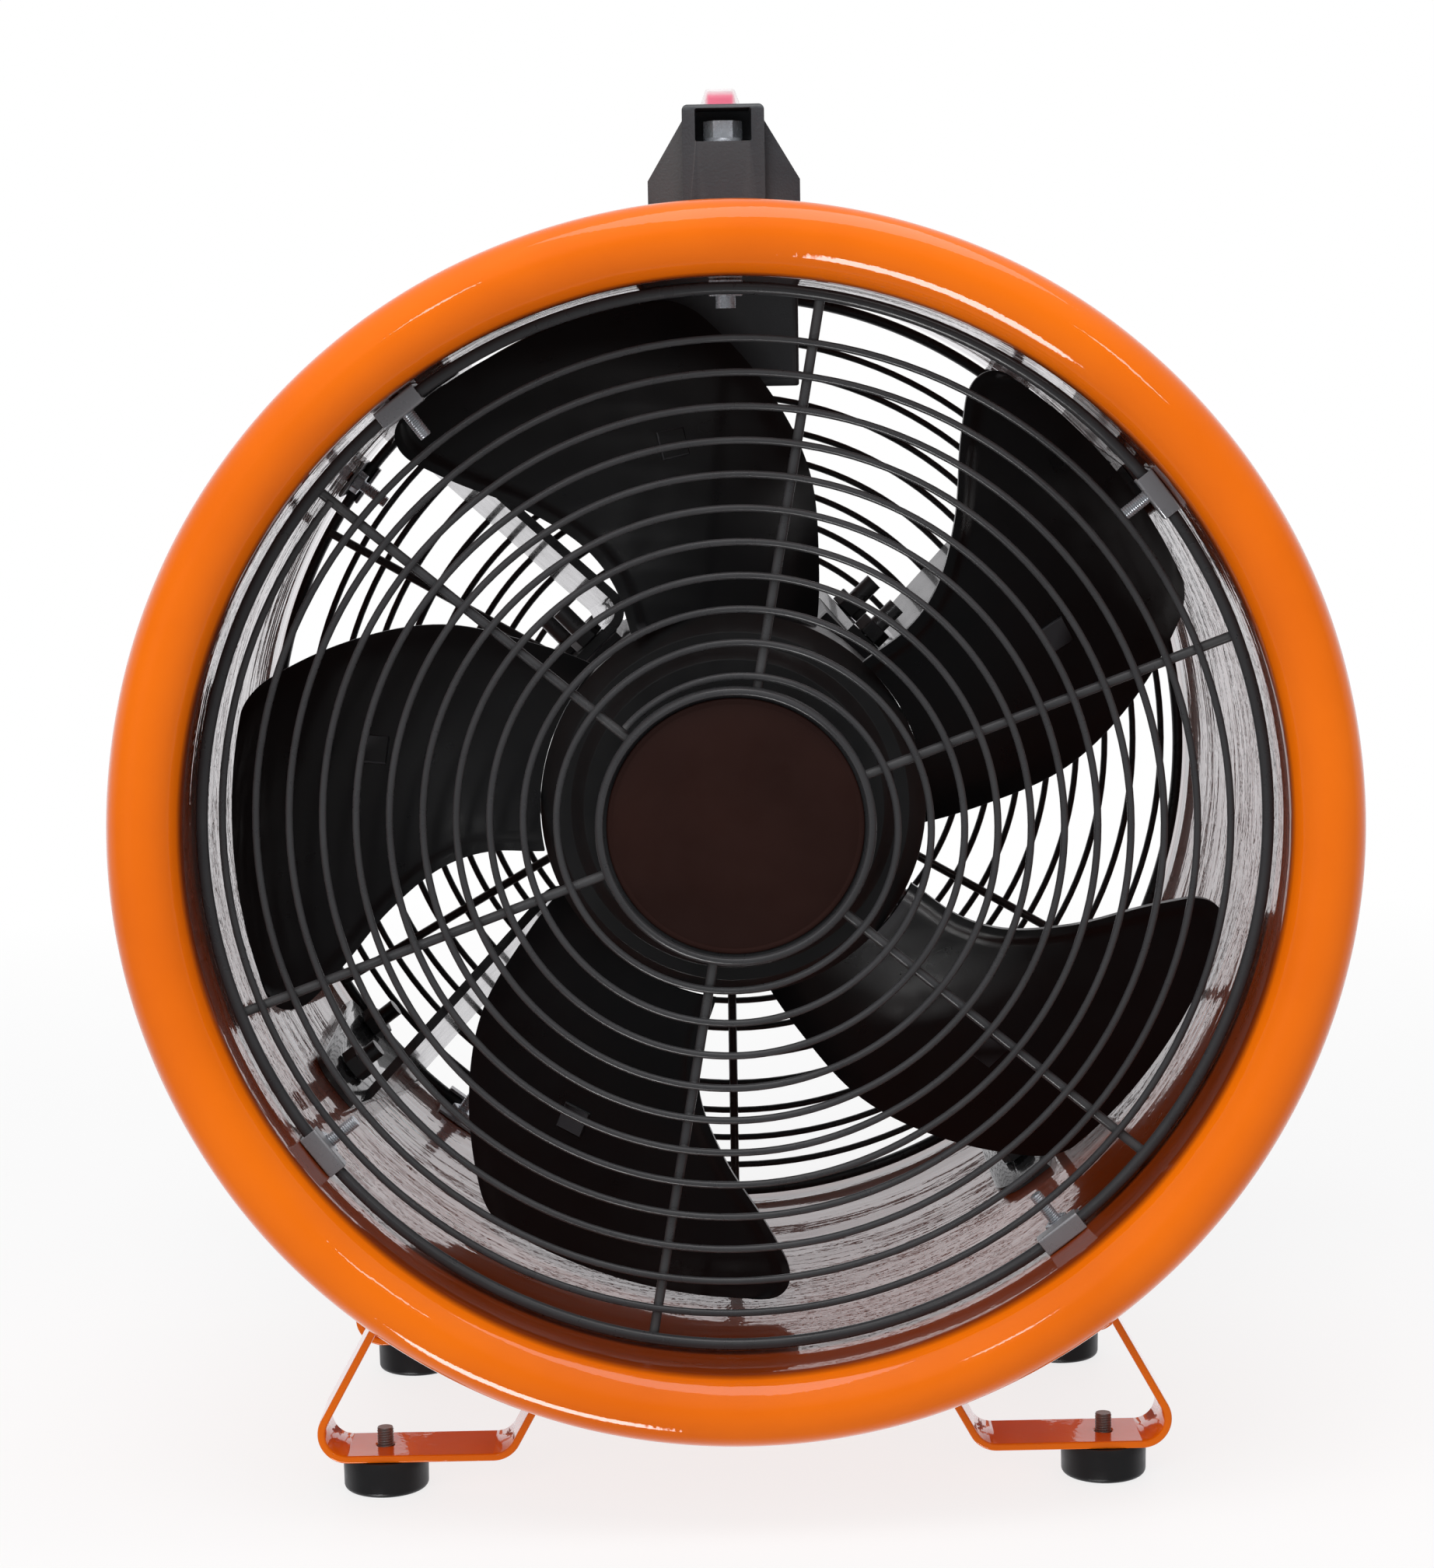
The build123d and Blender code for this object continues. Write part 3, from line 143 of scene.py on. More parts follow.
# A low bright strip ahead of the object
STRIP_ACROSS = (-0.42, -0.09)
STRIP_UP = (-0.86, -0.74)
STRIP_LIGHT = (15.0, 15.0, 15.0)
STRIP_RAMP = 0.02

FLOOR_RINGS = (0.05, 0.2, 0.4, 0.8, 1.6, 3.0, 6.0, 12.0)
FLOOR_SIDES = 96
FLOOR_GLOW = (0.80, 1.0)
FLOOR_FADE = (0.35, 1.1)

# Name, place, aim, size, power, seen in reflections
PANELS = (
    ("key", (-0.4, -1.7, 1.15), (0, 0, 0.2), (1.2, 0.9), 11, False),
    ("key_high", (-0.2, -0.9, 1.7), (0, -0.1, 0.1), (1.0, 0.8), 13, False),
    ("fill_left", (-1.2, -1.5, 0.35), (0, 0, 0.2), (0.8, 0.8), 5, False),
    ("fill_right", (1.3, -1.4, 0.4), (0, 0, 0.2), (0.8, 0.8), 0.8, False),
    ("overhead", (0.2, -0.3, 1.5), (0, 0, 0.2), (1.2, 0.8), 6, True),
    ("window_left", (-0.45, -1.6, 0.85), (0, 0, 0.2), (0.10, 0.16), 0.5, True),
    ("window_right", (0.65, -1.5, 0.75), (0, 0, 0.2), (0.10, 0.20), 0.5, True),
)

CAMERA_LENS = 79.6
CAMERA_SENSOR = 36
CAMERA_NEAR = 0.05
CAMERA_PLACE = (-0.01245, -1.1084, 0.3538)
CAMERA_YAW = 0.404
CAMERA_PITCH = 7.37
CAMERA_ROLL = 1.006


# ---------------------------------------------------------------- materials

def shader(name):
    """A new material with only a Principled shader, its node tree and that shader."""
    made = bpy.data.materials.new(name)
    made.use_nodes = True
    tree = made.node_tree
    tree.nodes.clear()
    out = tree.nodes.new("ShaderNodeOutputMaterial")
    surface = tree.nodes.new("ShaderNodeBsdfPrincipled")
    tree.links.new(surface.outputs[0], out.inputs[0])
    return made, tree, surface


def stretched(tree, stretch):
    """Object coordinates scaled along each axis."""
    coords = tree.nodes.new("ShaderNodeTexCoord")
    mapping = tree.nodes.new("ShaderNodeMapping")
    mapping.inputs["Scale"].default_value = stretch
    tree.links.new(coords.outputs["Object"], mapping.inputs["Vector"])
    return mapping.outputs[0]


def noise(tree, scale, stretch=(1, 1, 1), detail=3.0, rough=0.5):
    """A noise pattern, its scale in cycles a metre."""
    made = tree.nodes.new("ShaderNodeTexNoise")
    made.inputs["Scale"].default_value = scale
    made.inputs["Detail"].default_value = detail
    made.inputs["Roughness"].default_value = rough
    tree.links.new(stretched(tree, stretch), made.inputs["Vector"])
    return made.outputs["Fac"]


def ranged(tree, value, low, high, start=0.3, end=0.7):
    """Maps start to end onto low to high and holds it there outside."""
    made = tree.nodes.new("ShaderNodeMapRange")
    made.inputs["From Min"].default_value = start
    made.inputs["From Max"].default_value = end
    made.inputs["To Min"].default_value = low
    made.inputs["To Max"].default_value = high
    tree.links.new(value, made.inputs["Value"])
    return made.outputs[0]


def mixed(tree, fac, first, second):
    """Colour mix, where either colour may be a socket or a tuple."""
    made = tree.nodes.new("ShaderNodeMix")
    made.data_type = "RGBA"
    tree.links.new(fac, made.inputs[0])
    for socket, colour in ((made.inputs[6], first), (made.inputs[7], second)):
        if isinstance(colour, tuple):
            socket.default_value = colour + (1,)
        else:
            tree.links.new(colour, socket)
    return made.outputs[2]


def both(tree, first, second):
    """The product of two factors."""
    made = tree.nodes.new("ShaderNodeMath")
    made.operation = "MULTIPLY"
    tree.links.new(first, made.inputs[0])
    tree.links.new(second, made.inputs[1])
    return made.outputs[0]


def bumped(tree, patterns):
    """Chains bumps, each (height socket, strength, distance in metres), and gives the last normal."""
    normal = None
    for height, strength, distance in patterns:
        made = tree.nodes.new("ShaderNodeBump")
        made.inputs["Strength"].default_value = strength
        made.inputs["Distance"].default_value = distance
        tree.links.new(height, made.inputs["Height"])
        if normal is not None:
            tree.links.new(normal, made.inputs["Normal"])
        normal = made.outputs[0]
    return normal


def scaled(colour, factor):
    return tuple(min(1.0, part * factor) for part in colour)


def finish_material(name, colour, rough, metallic=0.0, coat=0.0, coat_rough=0.05, tint=0.12,
                    spread=0.06, patch=40, grain=(900, 0.15, 0.0002), brushed=None, wear=0.0,
                    worn=None, shine=0.5):
    """General finish: mottled colour, uneven gloss, a fine grain and a light wear along the edges."""
    made, tree, surface = shader(name)
    mottle = noise(tree, patch, detail=5.0)
    shade = mixed(tree, ranged(tree, mottle, 0, 1), scaled(colour, 1 - tint), scaled(colour, 1 + tint))
    if wear:
        geometry = tree.nodes.new("ShaderNodeNewGeometry")
        edge = ranged(tree, geometry.outputs["Pointiness"], 0, wear, 0.53, 0.62)
        shade = mixed(tree, edge, shade, worn or scaled(colour, 2.2))
    tree.links.new(shade, surface.inputs["Base Color"])
    smear = noise(tree, patch * 4, detail=4.0)
    tree.links.new(ranged(tree, smear, rough - spread, rough + spread), surface.inputs["Roughness"])
    surface.inputs["Metallic"].default_value = metallic
    surface.inputs["Specular IOR Level"].default_value = shine
    surface.inputs["Coat Weight"].default_value = coat
    surface.inputs["Coat Roughness"].default_value = coat_rough
    patterns = [(noise(tree, grain[0], detail=2.0), grain[1], grain[2])]
    if brushed:
        patterns.append((noise(tree, brushed[0], brushed[1], detail=4.0), brushed[2], 0.0002))
    tree.links.new(bumped(tree, patterns), surface.inputs["Normal"])
    return made


def from_axis(tree):
    """Distance from the duct axis, in metres."""
    coords = tree.nodes.new("ShaderNodeTexCoord")
    shift = tree.nodes.new("ShaderNodeVectorMath")
    shift.operation = "MULTIPLY_ADD"
    shift.inputs[1].default_value = (1, 0, 1)
    shift.inputs[2].default_value = (0, 0, -AXIS_Z * MM)
    tree.links.new(coords.outputs["Object"], shift.inputs[0])
    size = tree.nodes.new("ShaderNodeVectorMath")
    size.operation = "LENGTH"
    tree.links.new(shift.outputs[0], size.inputs[0])
    return size.outputs["Value"]


def orange_material(name, streak):
    """Glossy orange coat; with a streak, the tube's inside is darkened with painted shade and its coat
    faintly banded.
    """
    made, tree, surface = shader(name)
    mottle = noise(tree, 14, detail=4.0)
    shade = mixed(tree, ranged(tree, mottle, 0, 1), ORANGE_DEEP, ORANGE_LIGHT)
    # Sharp convex edges are lightened towards the edge colour: painted highlight
    geometry = tree.nodes.new("ShaderNodeNewGeometry")
    edge = ranged(tree, geometry.outputs["Pointiness"], 0, 0.5, 0.54, 0.66)
    shade = mixed(tree, edge, shade, ORANGE_EDGE_HIGHLIGHT)
    surface.inputs["Coat IOR"].default_value = 1.5
    if streak:
        # Inside the bore the colour turns darker: painted shade for the tube's shadowed inside
        outside = ranged(tree, from_axis(tree), 0, 1, BORE_R * MM + 0.0002, BORE_R * MM + 0.0012)
        shade = mixed(tree, outside, ORANGE_BORE_SHADE, shade)
        tree.links.new(ranged(tree, outside, 2.1, 1.5, 0, 1), surface.inputs["Coat IOR"])
    tree.links.new(shade, surface.inputs["Base Color"])
    smear = noise(tree, 60, detail=4.0)
    tree.links.new(ranged(tree, smear, 0.30, 0.40), surface.inputs["Roughness"])
    tree.links.new(ranged(tree, smear, 0.006, 0.022), surface.inputs["Coat Roughness"])
    surface.inputs["Coat Weight"].default_value = 1.0
    surface.inputs["Specular IOR Level"].default_value = 0.08
    patterns = [
        (noise(tree, 420, detail=1.5), 0.08, 0.0004),
        (noise(tree, 26, detail=2.0), 0.08, 0.004),
    ]
    if streak:
        patterns.append((noise(tree, 1, (7, 60, 7), detail=2.0), streak, 0.003))
        patterns.append((noise(tree, 1, (30, 300, 30), detail=2.0), streak * 0.5, 0.0006))
    normal = bumped(tree, patterns)
    tree.links.new(normal, surface.inputs["Normal"])
    tree.links.new(normal, surface.inputs["Coat Normal"])
    return made


LOOKS = {
    "orange_paint": orange_material("orange_paint", 0.0),
    "orange_tube": orange_material("orange_tube", 0.22),
    "black_rubber": finish_material("black_rubber", (0.014, 0.014, 0.015), 0.42,
                                    grain=(1500, 0.12, 0.0002)),
    "grille_paint": finish_material("grille_paint", (0.034, 0.034, 0.036), 0.3, wear=0.3,
                                    grain=(700, 0.12, 0.0002), worn=(0.12, 0.12, 0.12)),
    "badge_plate": finish_material("badge_plate", (0.017, 0.006, 0.0045), 0.45, shine=0.15,
                                   grain=(900, 0.1, 0.0002), brushed=(1, (700, 10, 30), 0.05)),
    "clip_steel": finish_material("clip_steel", (0.24, 0.24, 0.255), 0.3, metallic=0.5, wear=0.6,
                                  worn=(0.8, 0.8, 0.82), brushed=(1, (200, 1600, 200), 0.08)),
    "zinc": finish_material("zinc", (0.60, 0.63, 0.68), 0.26, metallic=0.6, tint=0.18, patch=160, wear=0.5,
                            worn=(0.85, 0.87, 0.9)),
    "dark_fastener": finish_material("dark_fastener", (0.05, 0.05, 0.052), 0.3, metallic=0.6, wear=0.6,
                                     worn=(0.3, 0.3, 0.31)),
    "impeller_plastic": finish_material("impeller_plastic", (0.0030, 0.0030, 0.0034), 0.34, shine=0.38,
                                        patch=24, tint=0.3, spread=0.08, grain=(1100, 0.10, 0.0002),
                                        wear=0.6, worn=(0.05, 0.05, 0.055)),
    "hub_plastic": finish_material("hub_plastic", (0.012, 0.012, 0.0125), 0.36, patch=30, tint=0.25,
                                   grain=(1100, 0.08, 0.0002), wear=0.5, worn=(0.06, 0.06, 0.062)),
    "strut_steel": finish_material("strut_steel", (0.02, 0.02, 0.021), 0.24, coat=0.8, coat_rough=0.06,
                                   grain=(300, 0.02, 0.0002), wear=0.5, worn=(0.2, 0.2, 0.2)),
    "motor_paint": finish_material("motor_paint", (0.02, 0.02, 0.022), 0.35, grain=(800, 0.2, 0.0003)),
    "motor_cover_alloy": finish_material("motor_cover_alloy", (0.35, 0.35, 0.36), 0.45, metallic=1.0,
                                         grain=(600, 0.35, 0.0003)),
    "lamination_steel": finish_material("lamination_steel", (0.30, 0.31, 0.33), 0.35, metallic=1.0,
                                        brushed=(1, (20, 2000, 20), 0.3)),
    "copper_winding": finish_material("copper_winding", (0.55, 0.20, 0.08), 0.3, metallic=1.0, coat=0.6,
                                      brushed=(1, (1200, 60, 1200), 0.4)),
    "bright_steel": finish_material("bright_steel", (0.6, 0.6, 0.61), 0.18, metallic=1.0,
                                    brushed=(1, (900, 100, 900), 0.06)),
    "handle_plastic": finish_material("handle_plastic", (0.034, 0.037, 0.042), 0.5, patch=60, spread=0.05,
                                      grain=(1300, 0.45, 0.0003), wear=0.5, worn=(0.11, 0.11, 0.11)),
    "stud_steel": finish_material("stud_steel", (0.14, 0.135, 0.13), 0.32, metallic=0.6, wear=0.4,
                                  worn=(0.5, 0.5, 0.5)),
    "rocker_red": finish_material("rocker_red", (0.80, 0.035, 0.07), 0.3, coat=0.4),
}


def boot_material():
    """Milky, soft clear plastic that takes up the rocker's red in its middle."""
    made, tree, surface = shader("boot_clear")
    cloud = noise(tree, 120, detail=3.0)
    milk = mixed(tree, ranged(tree, cloud, 0, 1), MILK_DARK, MILK_LIGHT)
    coords = tree.nodes.new("ShaderNodeTexCoord")
    split = tree.nodes.new("ShaderNodeSeparateXYZ")
    tree.links.new(coords.outputs["Object"], split.inputs[0])
    aside = tree.nodes.new("ShaderNodeMath")
    aside.operation = "ABSOLUTE"
    tree.links.new(split.outputs["X"], aside.inputs[0])
    inside = ranged(tree, aside.outputs[0], 1, 0, *ROCKER_SIDE)
    glow = both(tree, inside, ranged(tree, split.outputs["Z"], 1, 0, *BOOT_TOP))
    tree.links.new(mixed(tree, glow, milk, BOOT_PINK), surface.inputs["Base Color"])
    tree.links.new(ranged(tree, cloud, 0.16, 0.28), surface.inputs["Roughness"])
    tree.links.new(ranged(tree, glow, 0.36, 0.62, 0, 1), surface.inputs["Alpha"])
    surface.inputs["IOR"].default_value = 1.42
    tree.links.new(bumped(tree, [(noise(tree, 500), 0.04, 0.0003)]), surface.inputs["Normal"])
    return made


LOOKS["boot_clear"] = boot_material()


# ---------------------------------------------------------------- building pieces

def place(turn, reach, depth):
    """A point by its angle round the duct axis, distance from it and depth, in metres."""
    angle = math.radians(turn)
    return Vector((reach * math.cos(angle), depth - LENGTH / 2, AXIS_Z + reach * math.sin(angle))) * MM


def frame_at(origin, up, side):
    """Matrix whose Z is up and whose X is near side; its units are millimetres."""
    z = up.normalized()
    x = (side - z * side.dot(z)).normalized()
    y = z.cross(x)
    turned = Matrix((x, y, z)).transposed().to_4x4()
    return Matrix.Translation(origin) @ turned @ Matrix.Scale(MM, 4)


def duct_frame():
    """Z runs back along the duct axis from the front mouth, X points right."""
    return frame_at(Vector((0, -LENGTH / 2, AXIS_Z)) * MM, Vector((0, 1, 0)), Vector((1, 0, 0)))


class Shape:
    """Collects closed surfaces and turns them into one object."""

    def __init__(self):
        self.points = []
        self.faces = []

    def grid(self, rows, wrap_rows=False):
        """Quads between rows of points, each row a closed loop."""
        base = len(self.points)
        wide = len(rows[0])
        high = len(rows)
        for row in rows:
            self.points.extend(row)
        for i in range(high if wrap_rows else high - 1):
            for j in range(wide):
                below = base + i * wide
                above = base + (i + 1) % high * wide
                self.faces.append((below + j, below + (j + 1) % wide, above + (j + 1) % wide, above + j))
        return base

    def cap(self, first, count):
        self.faces.append(tuple(range(first, first + count)))

    def lathe(self, profile, matrix, count=64, closed=False, warp=None):
        """Spins (radius, height) points round the matrix's Z axis."""
        rows = []
        for radius, height in profile:
            row = []
            for k in range(count):
                turn = 2 * math.pi * k / count
                r, h = warp(radius, height, turn) if warp else (radius, height)
                row.append(matrix @ Vector((r * math.cos(turn), r * math.sin(turn), h)))
            rows.append(row)
        base = self.grid(rows, wrap_rows=closed)
        if not closed:
            self.cap(base, count)
            self.cap(base + (len(rows) - 1) * count, count)

    def thread(self, radius, length, pitch, matrix, count=20, steps=6, chamfer=0.8):
        """A threaded rod that starts at the matrix's origin and runs along its Z."""
        rings = max(8, int(length / pitch * steps))
        groove = 0.30 * pitch
        rows = []
        for i in range(rings + 1):
            height = length * i / rings
            end = min(1.0, (length - height) / chamfer + 0.25)
            row = []
            for k in range(count):
                turn = 2 * math.pi * k / count
                phase = (height / pitch - k / count) % 1
                dip = groove * abs(2 * phase - 1)
                r = radius - max(dip, groove * (1 - end) * 1.6)
                row.append(matrix @ Vector((r * math.cos(turn), r * math.sin(turn), height)))
            rows.append(row)
        base = self.grid(rows)
        self.cap(base, count)
        self.cap(base + rings * count, count)

    def make(self, name, look, body, replaces=(), sharp=40, bevel=0.0):
        mesh = bpy.data.meshes.new(name)
        mesh.from_pydata([tuple(p) for p in self.points], [], self.faces)
        work = bmesh.new()
        work.from_mesh(mesh)
        bmesh.ops.remove_doubles(work, verts=work.verts, dist=1e-7)
        bmesh.ops.recalc_face_normals(work, faces=work.faces)
        work.to_mesh(mesh)
        work.free()
        thing = bpy.data.objects.new(name, mesh)
        bpy.context.scene.collection.objects.link(thing)
        mesh.shade_smooth()
        mesh.set_sharp_from_angle(angle=math.radians(sharp))
        mesh.materials.append(LOOKS[look])
        if bevel:
            add_bevel(thing, bevel)
        settle(thing, body, replaces)


def add_bevel(thing, width, segments=3, angle=35):
    made = thing.modifiers.new("edge", "BEVEL")
    made.width = width * MM
    made.segments = segments
    made.limit_method = "ANGLE"
    made.angle_limit = math.radians(angle)
    made.harden_normals = True


def settle(thing, body, replaces=()):
    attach(thing, body)
    if replaces:
        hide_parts(*replaces)


def wires(name, paths, radius, replaces, cyclic=False, sides=6):
    """Round painted wires of a grille, along lists of points in metres."""
    data = bpy.data.curves.new(name, "CURVE")
    data.dimensions = "3D"
    data.bevel_depth = radius * MM
    data.bevel_resolution = sides
    data.use_fill_caps = True
    for path in paths:
        spline = data.splines.new("POLY")
        spline.points.add(len(path) - 1)
        for point, spot in zip(spline.points, path):
            point.co = (*spot, 1)
        spline.use_cyclic_u = cyclic
        spline.use_smooth = True
    thing = bpy.data.objects.new(name, data)
    bpy.context.scene.collection.objects.link(thing)
    data.materials.append(LOOKS["grille_paint"])
    settle(thing, "machine", replaces)


def arc(centre_x, centre_y, radius, start, sweep, count=12):
    """Points along an arc, angles in degrees."""
    points = []
    for k in range(count + 1):
        angle = math.radians(start + sweep * k / count)
        points.append((centre_x + radius * math.cos(angle), centre_y + radius * math.sin(angle)))
    return points


def curve_value(points, x):
    """Smooth curve through (x, value) points."""
    index = 0
    while index < len(points) - 2 and x > points[index + 1][0]:
        index += 1
    (x0, y0), (x1, y1) = points[index], points[index + 1]
    slope = (y1 - y0) / (x1 - x0)
    before = slope if index == 0 else (y1 - points[index - 1][1]) / (x1 - points[index - 1][0])
    after = slope if index == len(points) - 2 else (points[index + 2][1] - y0) / (points[index + 2][0] - x0)
    t = (x - x0) / (x1 - x0)
    wide = x1 - x0
    return ((2 * t**3 - 3 * t**2 + 1) * y0 + (t**3 - 2 * t**2 + t) * before * wide
            + (3 * t**2 - 2 * t**3) * y1 + (t**3 - t**2) * after * wide)


# ---------------------------------------------------------------- duct

def duct_half():
    """Sheet profile from the middle of the bore, round the front roll, to the middle of the outside."""
    centre = BORE_R + FLARE_R
    points = [(BORE_R, LENGTH / 2 - k * (LENGTH / 2 - FLARE_R) / 20) for k in range(20)]
    points += arc(centre, FLARE_R, FLARE_R, 180, 90, 18)
    points += arc(centre, ROLL_R, ROLL_R, 270, 90, 18)[1:]
    points += [(RIM_R, SKIRT - LIP_R)] + arc(RIM_R - LIP_R, SKIRT - LIP_R, LIP_R, 0, 90, 3)
    points += arc(RIM_R - SHEET + LIP_R, SKIRT - LIP_R, LIP_R, 90, 90, 3)
    points += arc(centre, ROLL_R, ROLL_R - SHEET, 0, -90, 14)
    points += arc(centre, FLARE_R, FLARE_R - SHEET, 270, -90, 14)[1:]
    points += [(SHELL_R, FLARE_R + k * (LENGTH / 2 - FLARE_R) / 12) for k in range(1, 12)]
    return points


def roll_waves(radius, height, turn):
    """Rolled sheet is never quite round: long shallow waves, larger out on the flange."""
    out = (radius - BORE_R) / (RIM_R - BORE_R)
    wave = 0.10 * math.sin(5 * turn + 0.7) + 0.07 * math.sin(11 * turn + height * 0.02)
    dish = 0.5 * out * (0.16 * math.sin(7 * turn) + 0.10 * math.sin(13 * turn + 1.3))
    side = 1 if height > LENGTH / 2 else -1
    return radius + wave * (0.4 + 0.4 * out) - 0.12 * out, height + side * dish


def build_duct():
    shell = Shape()
    half = duct_half()
    profile = half + [(radius, LENGTH - depth) for radius, depth in reversed(half)]
    shell.lathe(profile, duct_frame(), count=DUCT_SIDES, closed=True, warp=roll_waves)
    shell.make("duct_sheet", "orange_tube", "machine", ("duct_shell",), sharp=60)


# ---------------------------------------------------------------- grilles

def spiral_points(mouth):
    """The wire's middle line: half circles about two centres in turn."""
    sense = 1 if mouth == "front" else -1
    begin = SPIRAL_TURN if mouth == "front" else 180 - SPIRAL_TURN
    depth = SPIRAL_DEPTH if mouth == "front" else LENGTH - SPIRAL_DEPTH
    points = []
    reach = SPIRAL_START_R
    for half in range(SPIRAL_HALF_TURNS):
        side = 1 if half % 2 == 0 else -1
        radius = reach - SPIRAL_PITCH / 4
        first = 0 if side > 0 else math.pi
        for k in range(ARC_STEPS):
            angle = first + math.pi * k / ARC_STEPS
            x = side * SPIRAL_PITCH / 4 + radius * math.cos(angle)
            y = radius * math.sin(angle)
            turn = begin + sense * math.degrees(math.atan2(y, x))
            points.append((turn, math.hypot(x, y), depth))
        reach -= SPIRAL_PITCH / 2
    return points


def build_grille(mouth, first_spoke):
    """Ring, spokes, spiral, weld beads and the cup over the spokes' inner ends."""
    front = mouth == "front"
    ring_depth = RING_DEPTH if front else LENGTH - RING_DEPTH
    spoke_depth = SPOKE_DEPTH if front else LENGTH - SPOKE_DEPTH
    ring = [place(360 * k / RING_SIDES, RING_R, ring_depth) for k in range(RING_SIDES)]
    wires(f"{mouth}_guard_ring", [ring], RING_WIRE_R, (f"{mouth}_grille_ring",), cyclic=True)
    spokes = []
    for k in range(6):
        turn = first_spoke + 60 * k
        spokes.append([place(turn, reach, spoke_depth) for reach in (26, 60, 100, 130, RING_R)])
    wires(f"{mouth}_guard_spokes", spokes, SPOKE_WIRE_R, (f"{mouth}_grille_spokes",))
    path = spiral_points(mouth)
    line = [place(*point) for point in path]
    wires(f"{mouth}_guard_spiral", [line], SPIRAL_WIRE_R, (f"{mouth}_grille_spiral",), sides=5)
    welds = Shape()
    for before, after in zip(path, path[1:]):
        for k in range(6):
            turn = (first_spoke + 60 * k) % 360
            low = (before[0] - turn + 180) % 360 - 180
            high = (after[0] - turn + 180) % 360 - 180
            if low * high < 0 and abs(low - high) < 20:
                reach = before[1] + (after[1] - before[1]) * abs(low) / abs(low - high)
                weld_bead(welds, turn, reach, (path[0][2] + spoke_depth) / 2)
    welds.make(f"{mouth}_guard_welds", "grille_paint", "machine", sharp=80)
    sign = 1 if front else -1
    offset = 0 if front else LENGTH
    dish = [(0.2, 30.6), (38.8, 30.6), (39.2, 30.2), (39.2, 27.0)]
    dish += [(39.5, 26.68), (40.0, 26.6)] + arc(40.0, 28.2, 1.6, 280, 70, 6)
    dish += [(41.6, 28.2), (41.6, 31.3), (41.1, 31.8), (0.2, 31.8)]
    cup = Shape()
    cup.lathe([(r, offset + sign * h) for r, h in dish], duct_frame(), count=DISH_SIDES)
    cup.make(f"{mouth}_guard_cup", "grille_paint", "machine",
             (f"{mouth}_grille_cup",), sharp=50)


def weld_bead(shape, turn, reach, depth):
    """Small flattened blob where two wires are spot welded."""
    spot = place(turn, reach, depth)
    out = place(turn, reach + 1, depth) - spot
    wide = 1.45 + random.uniform(-0.15, 0.2)
    tall = 1.5 + random.uniform(-0.1, 0.15)
    angles = [math.radians(a) for a in range(10, 180, 20)]
    profile = [(wide * math.sin(angle), -tall * math.cos(angle)) for angle in angles]
    shape.lathe(profile, frame_at(spot, Vector((0, 1, 0)), out), count=12)


def build_badge():
    """Plain round plate with a shallow groove near its edge."""
    plate = Shape()
    profile = [(0.2, 30.55), (38.2, 30.55), (38.2, 29.6)] + arc(37.6, 29.6, 0.6, 0, -90, 4)
    profile += [(36.9, 29.0), (36.6, 29.12), (36.2, 29.12), (35.9, 29.0), (20, 28.96), (0.2, 28.94)]
    plate.lathe(profile, duct_frame(), count=DISH_SIDES)
    plate.make("badge_face", "badge_plate", "machine", ("front_grille_badge",), sharp=35)


# ---------------------------------------------------------------- impeller

def blade_depth(across, distance):
    """Depth of the blade's front face at a place in its own frame."""
    middle = curve_value([(s[0], s[1]) for s in BLADE_SECTIONS], distance)
    slope = curve_value([(s[0], s[2]) for s in BLADE_SECTIONS], distance)
    low = curve_value([(s[0], s[3]) for s in BLADE_SECTIONS], distance)
    high = curve_value([(s[0], s[4]) for s in BLADE_SECTIONS], distance)
    off = (across - (low + high) / 2) / ((high - low) / 2)
    return middle - slope * across - BLADE_CAMBER * (1 - min(1.0, off * off))


def corner_cut(reach, rounding):
    """How far a rounded tip corner lies inside the square one, at a distance from the axis."""
    """How far a rounded tip corner draws an edge in, in millimetres, at a distance from the axis."""
    into = rounding - (BLADE_TIP_R - reach)
    if into <= 0:
        return 0.0
    return rounding - math.sqrt(max(0.0, rounding**2 - into**2))


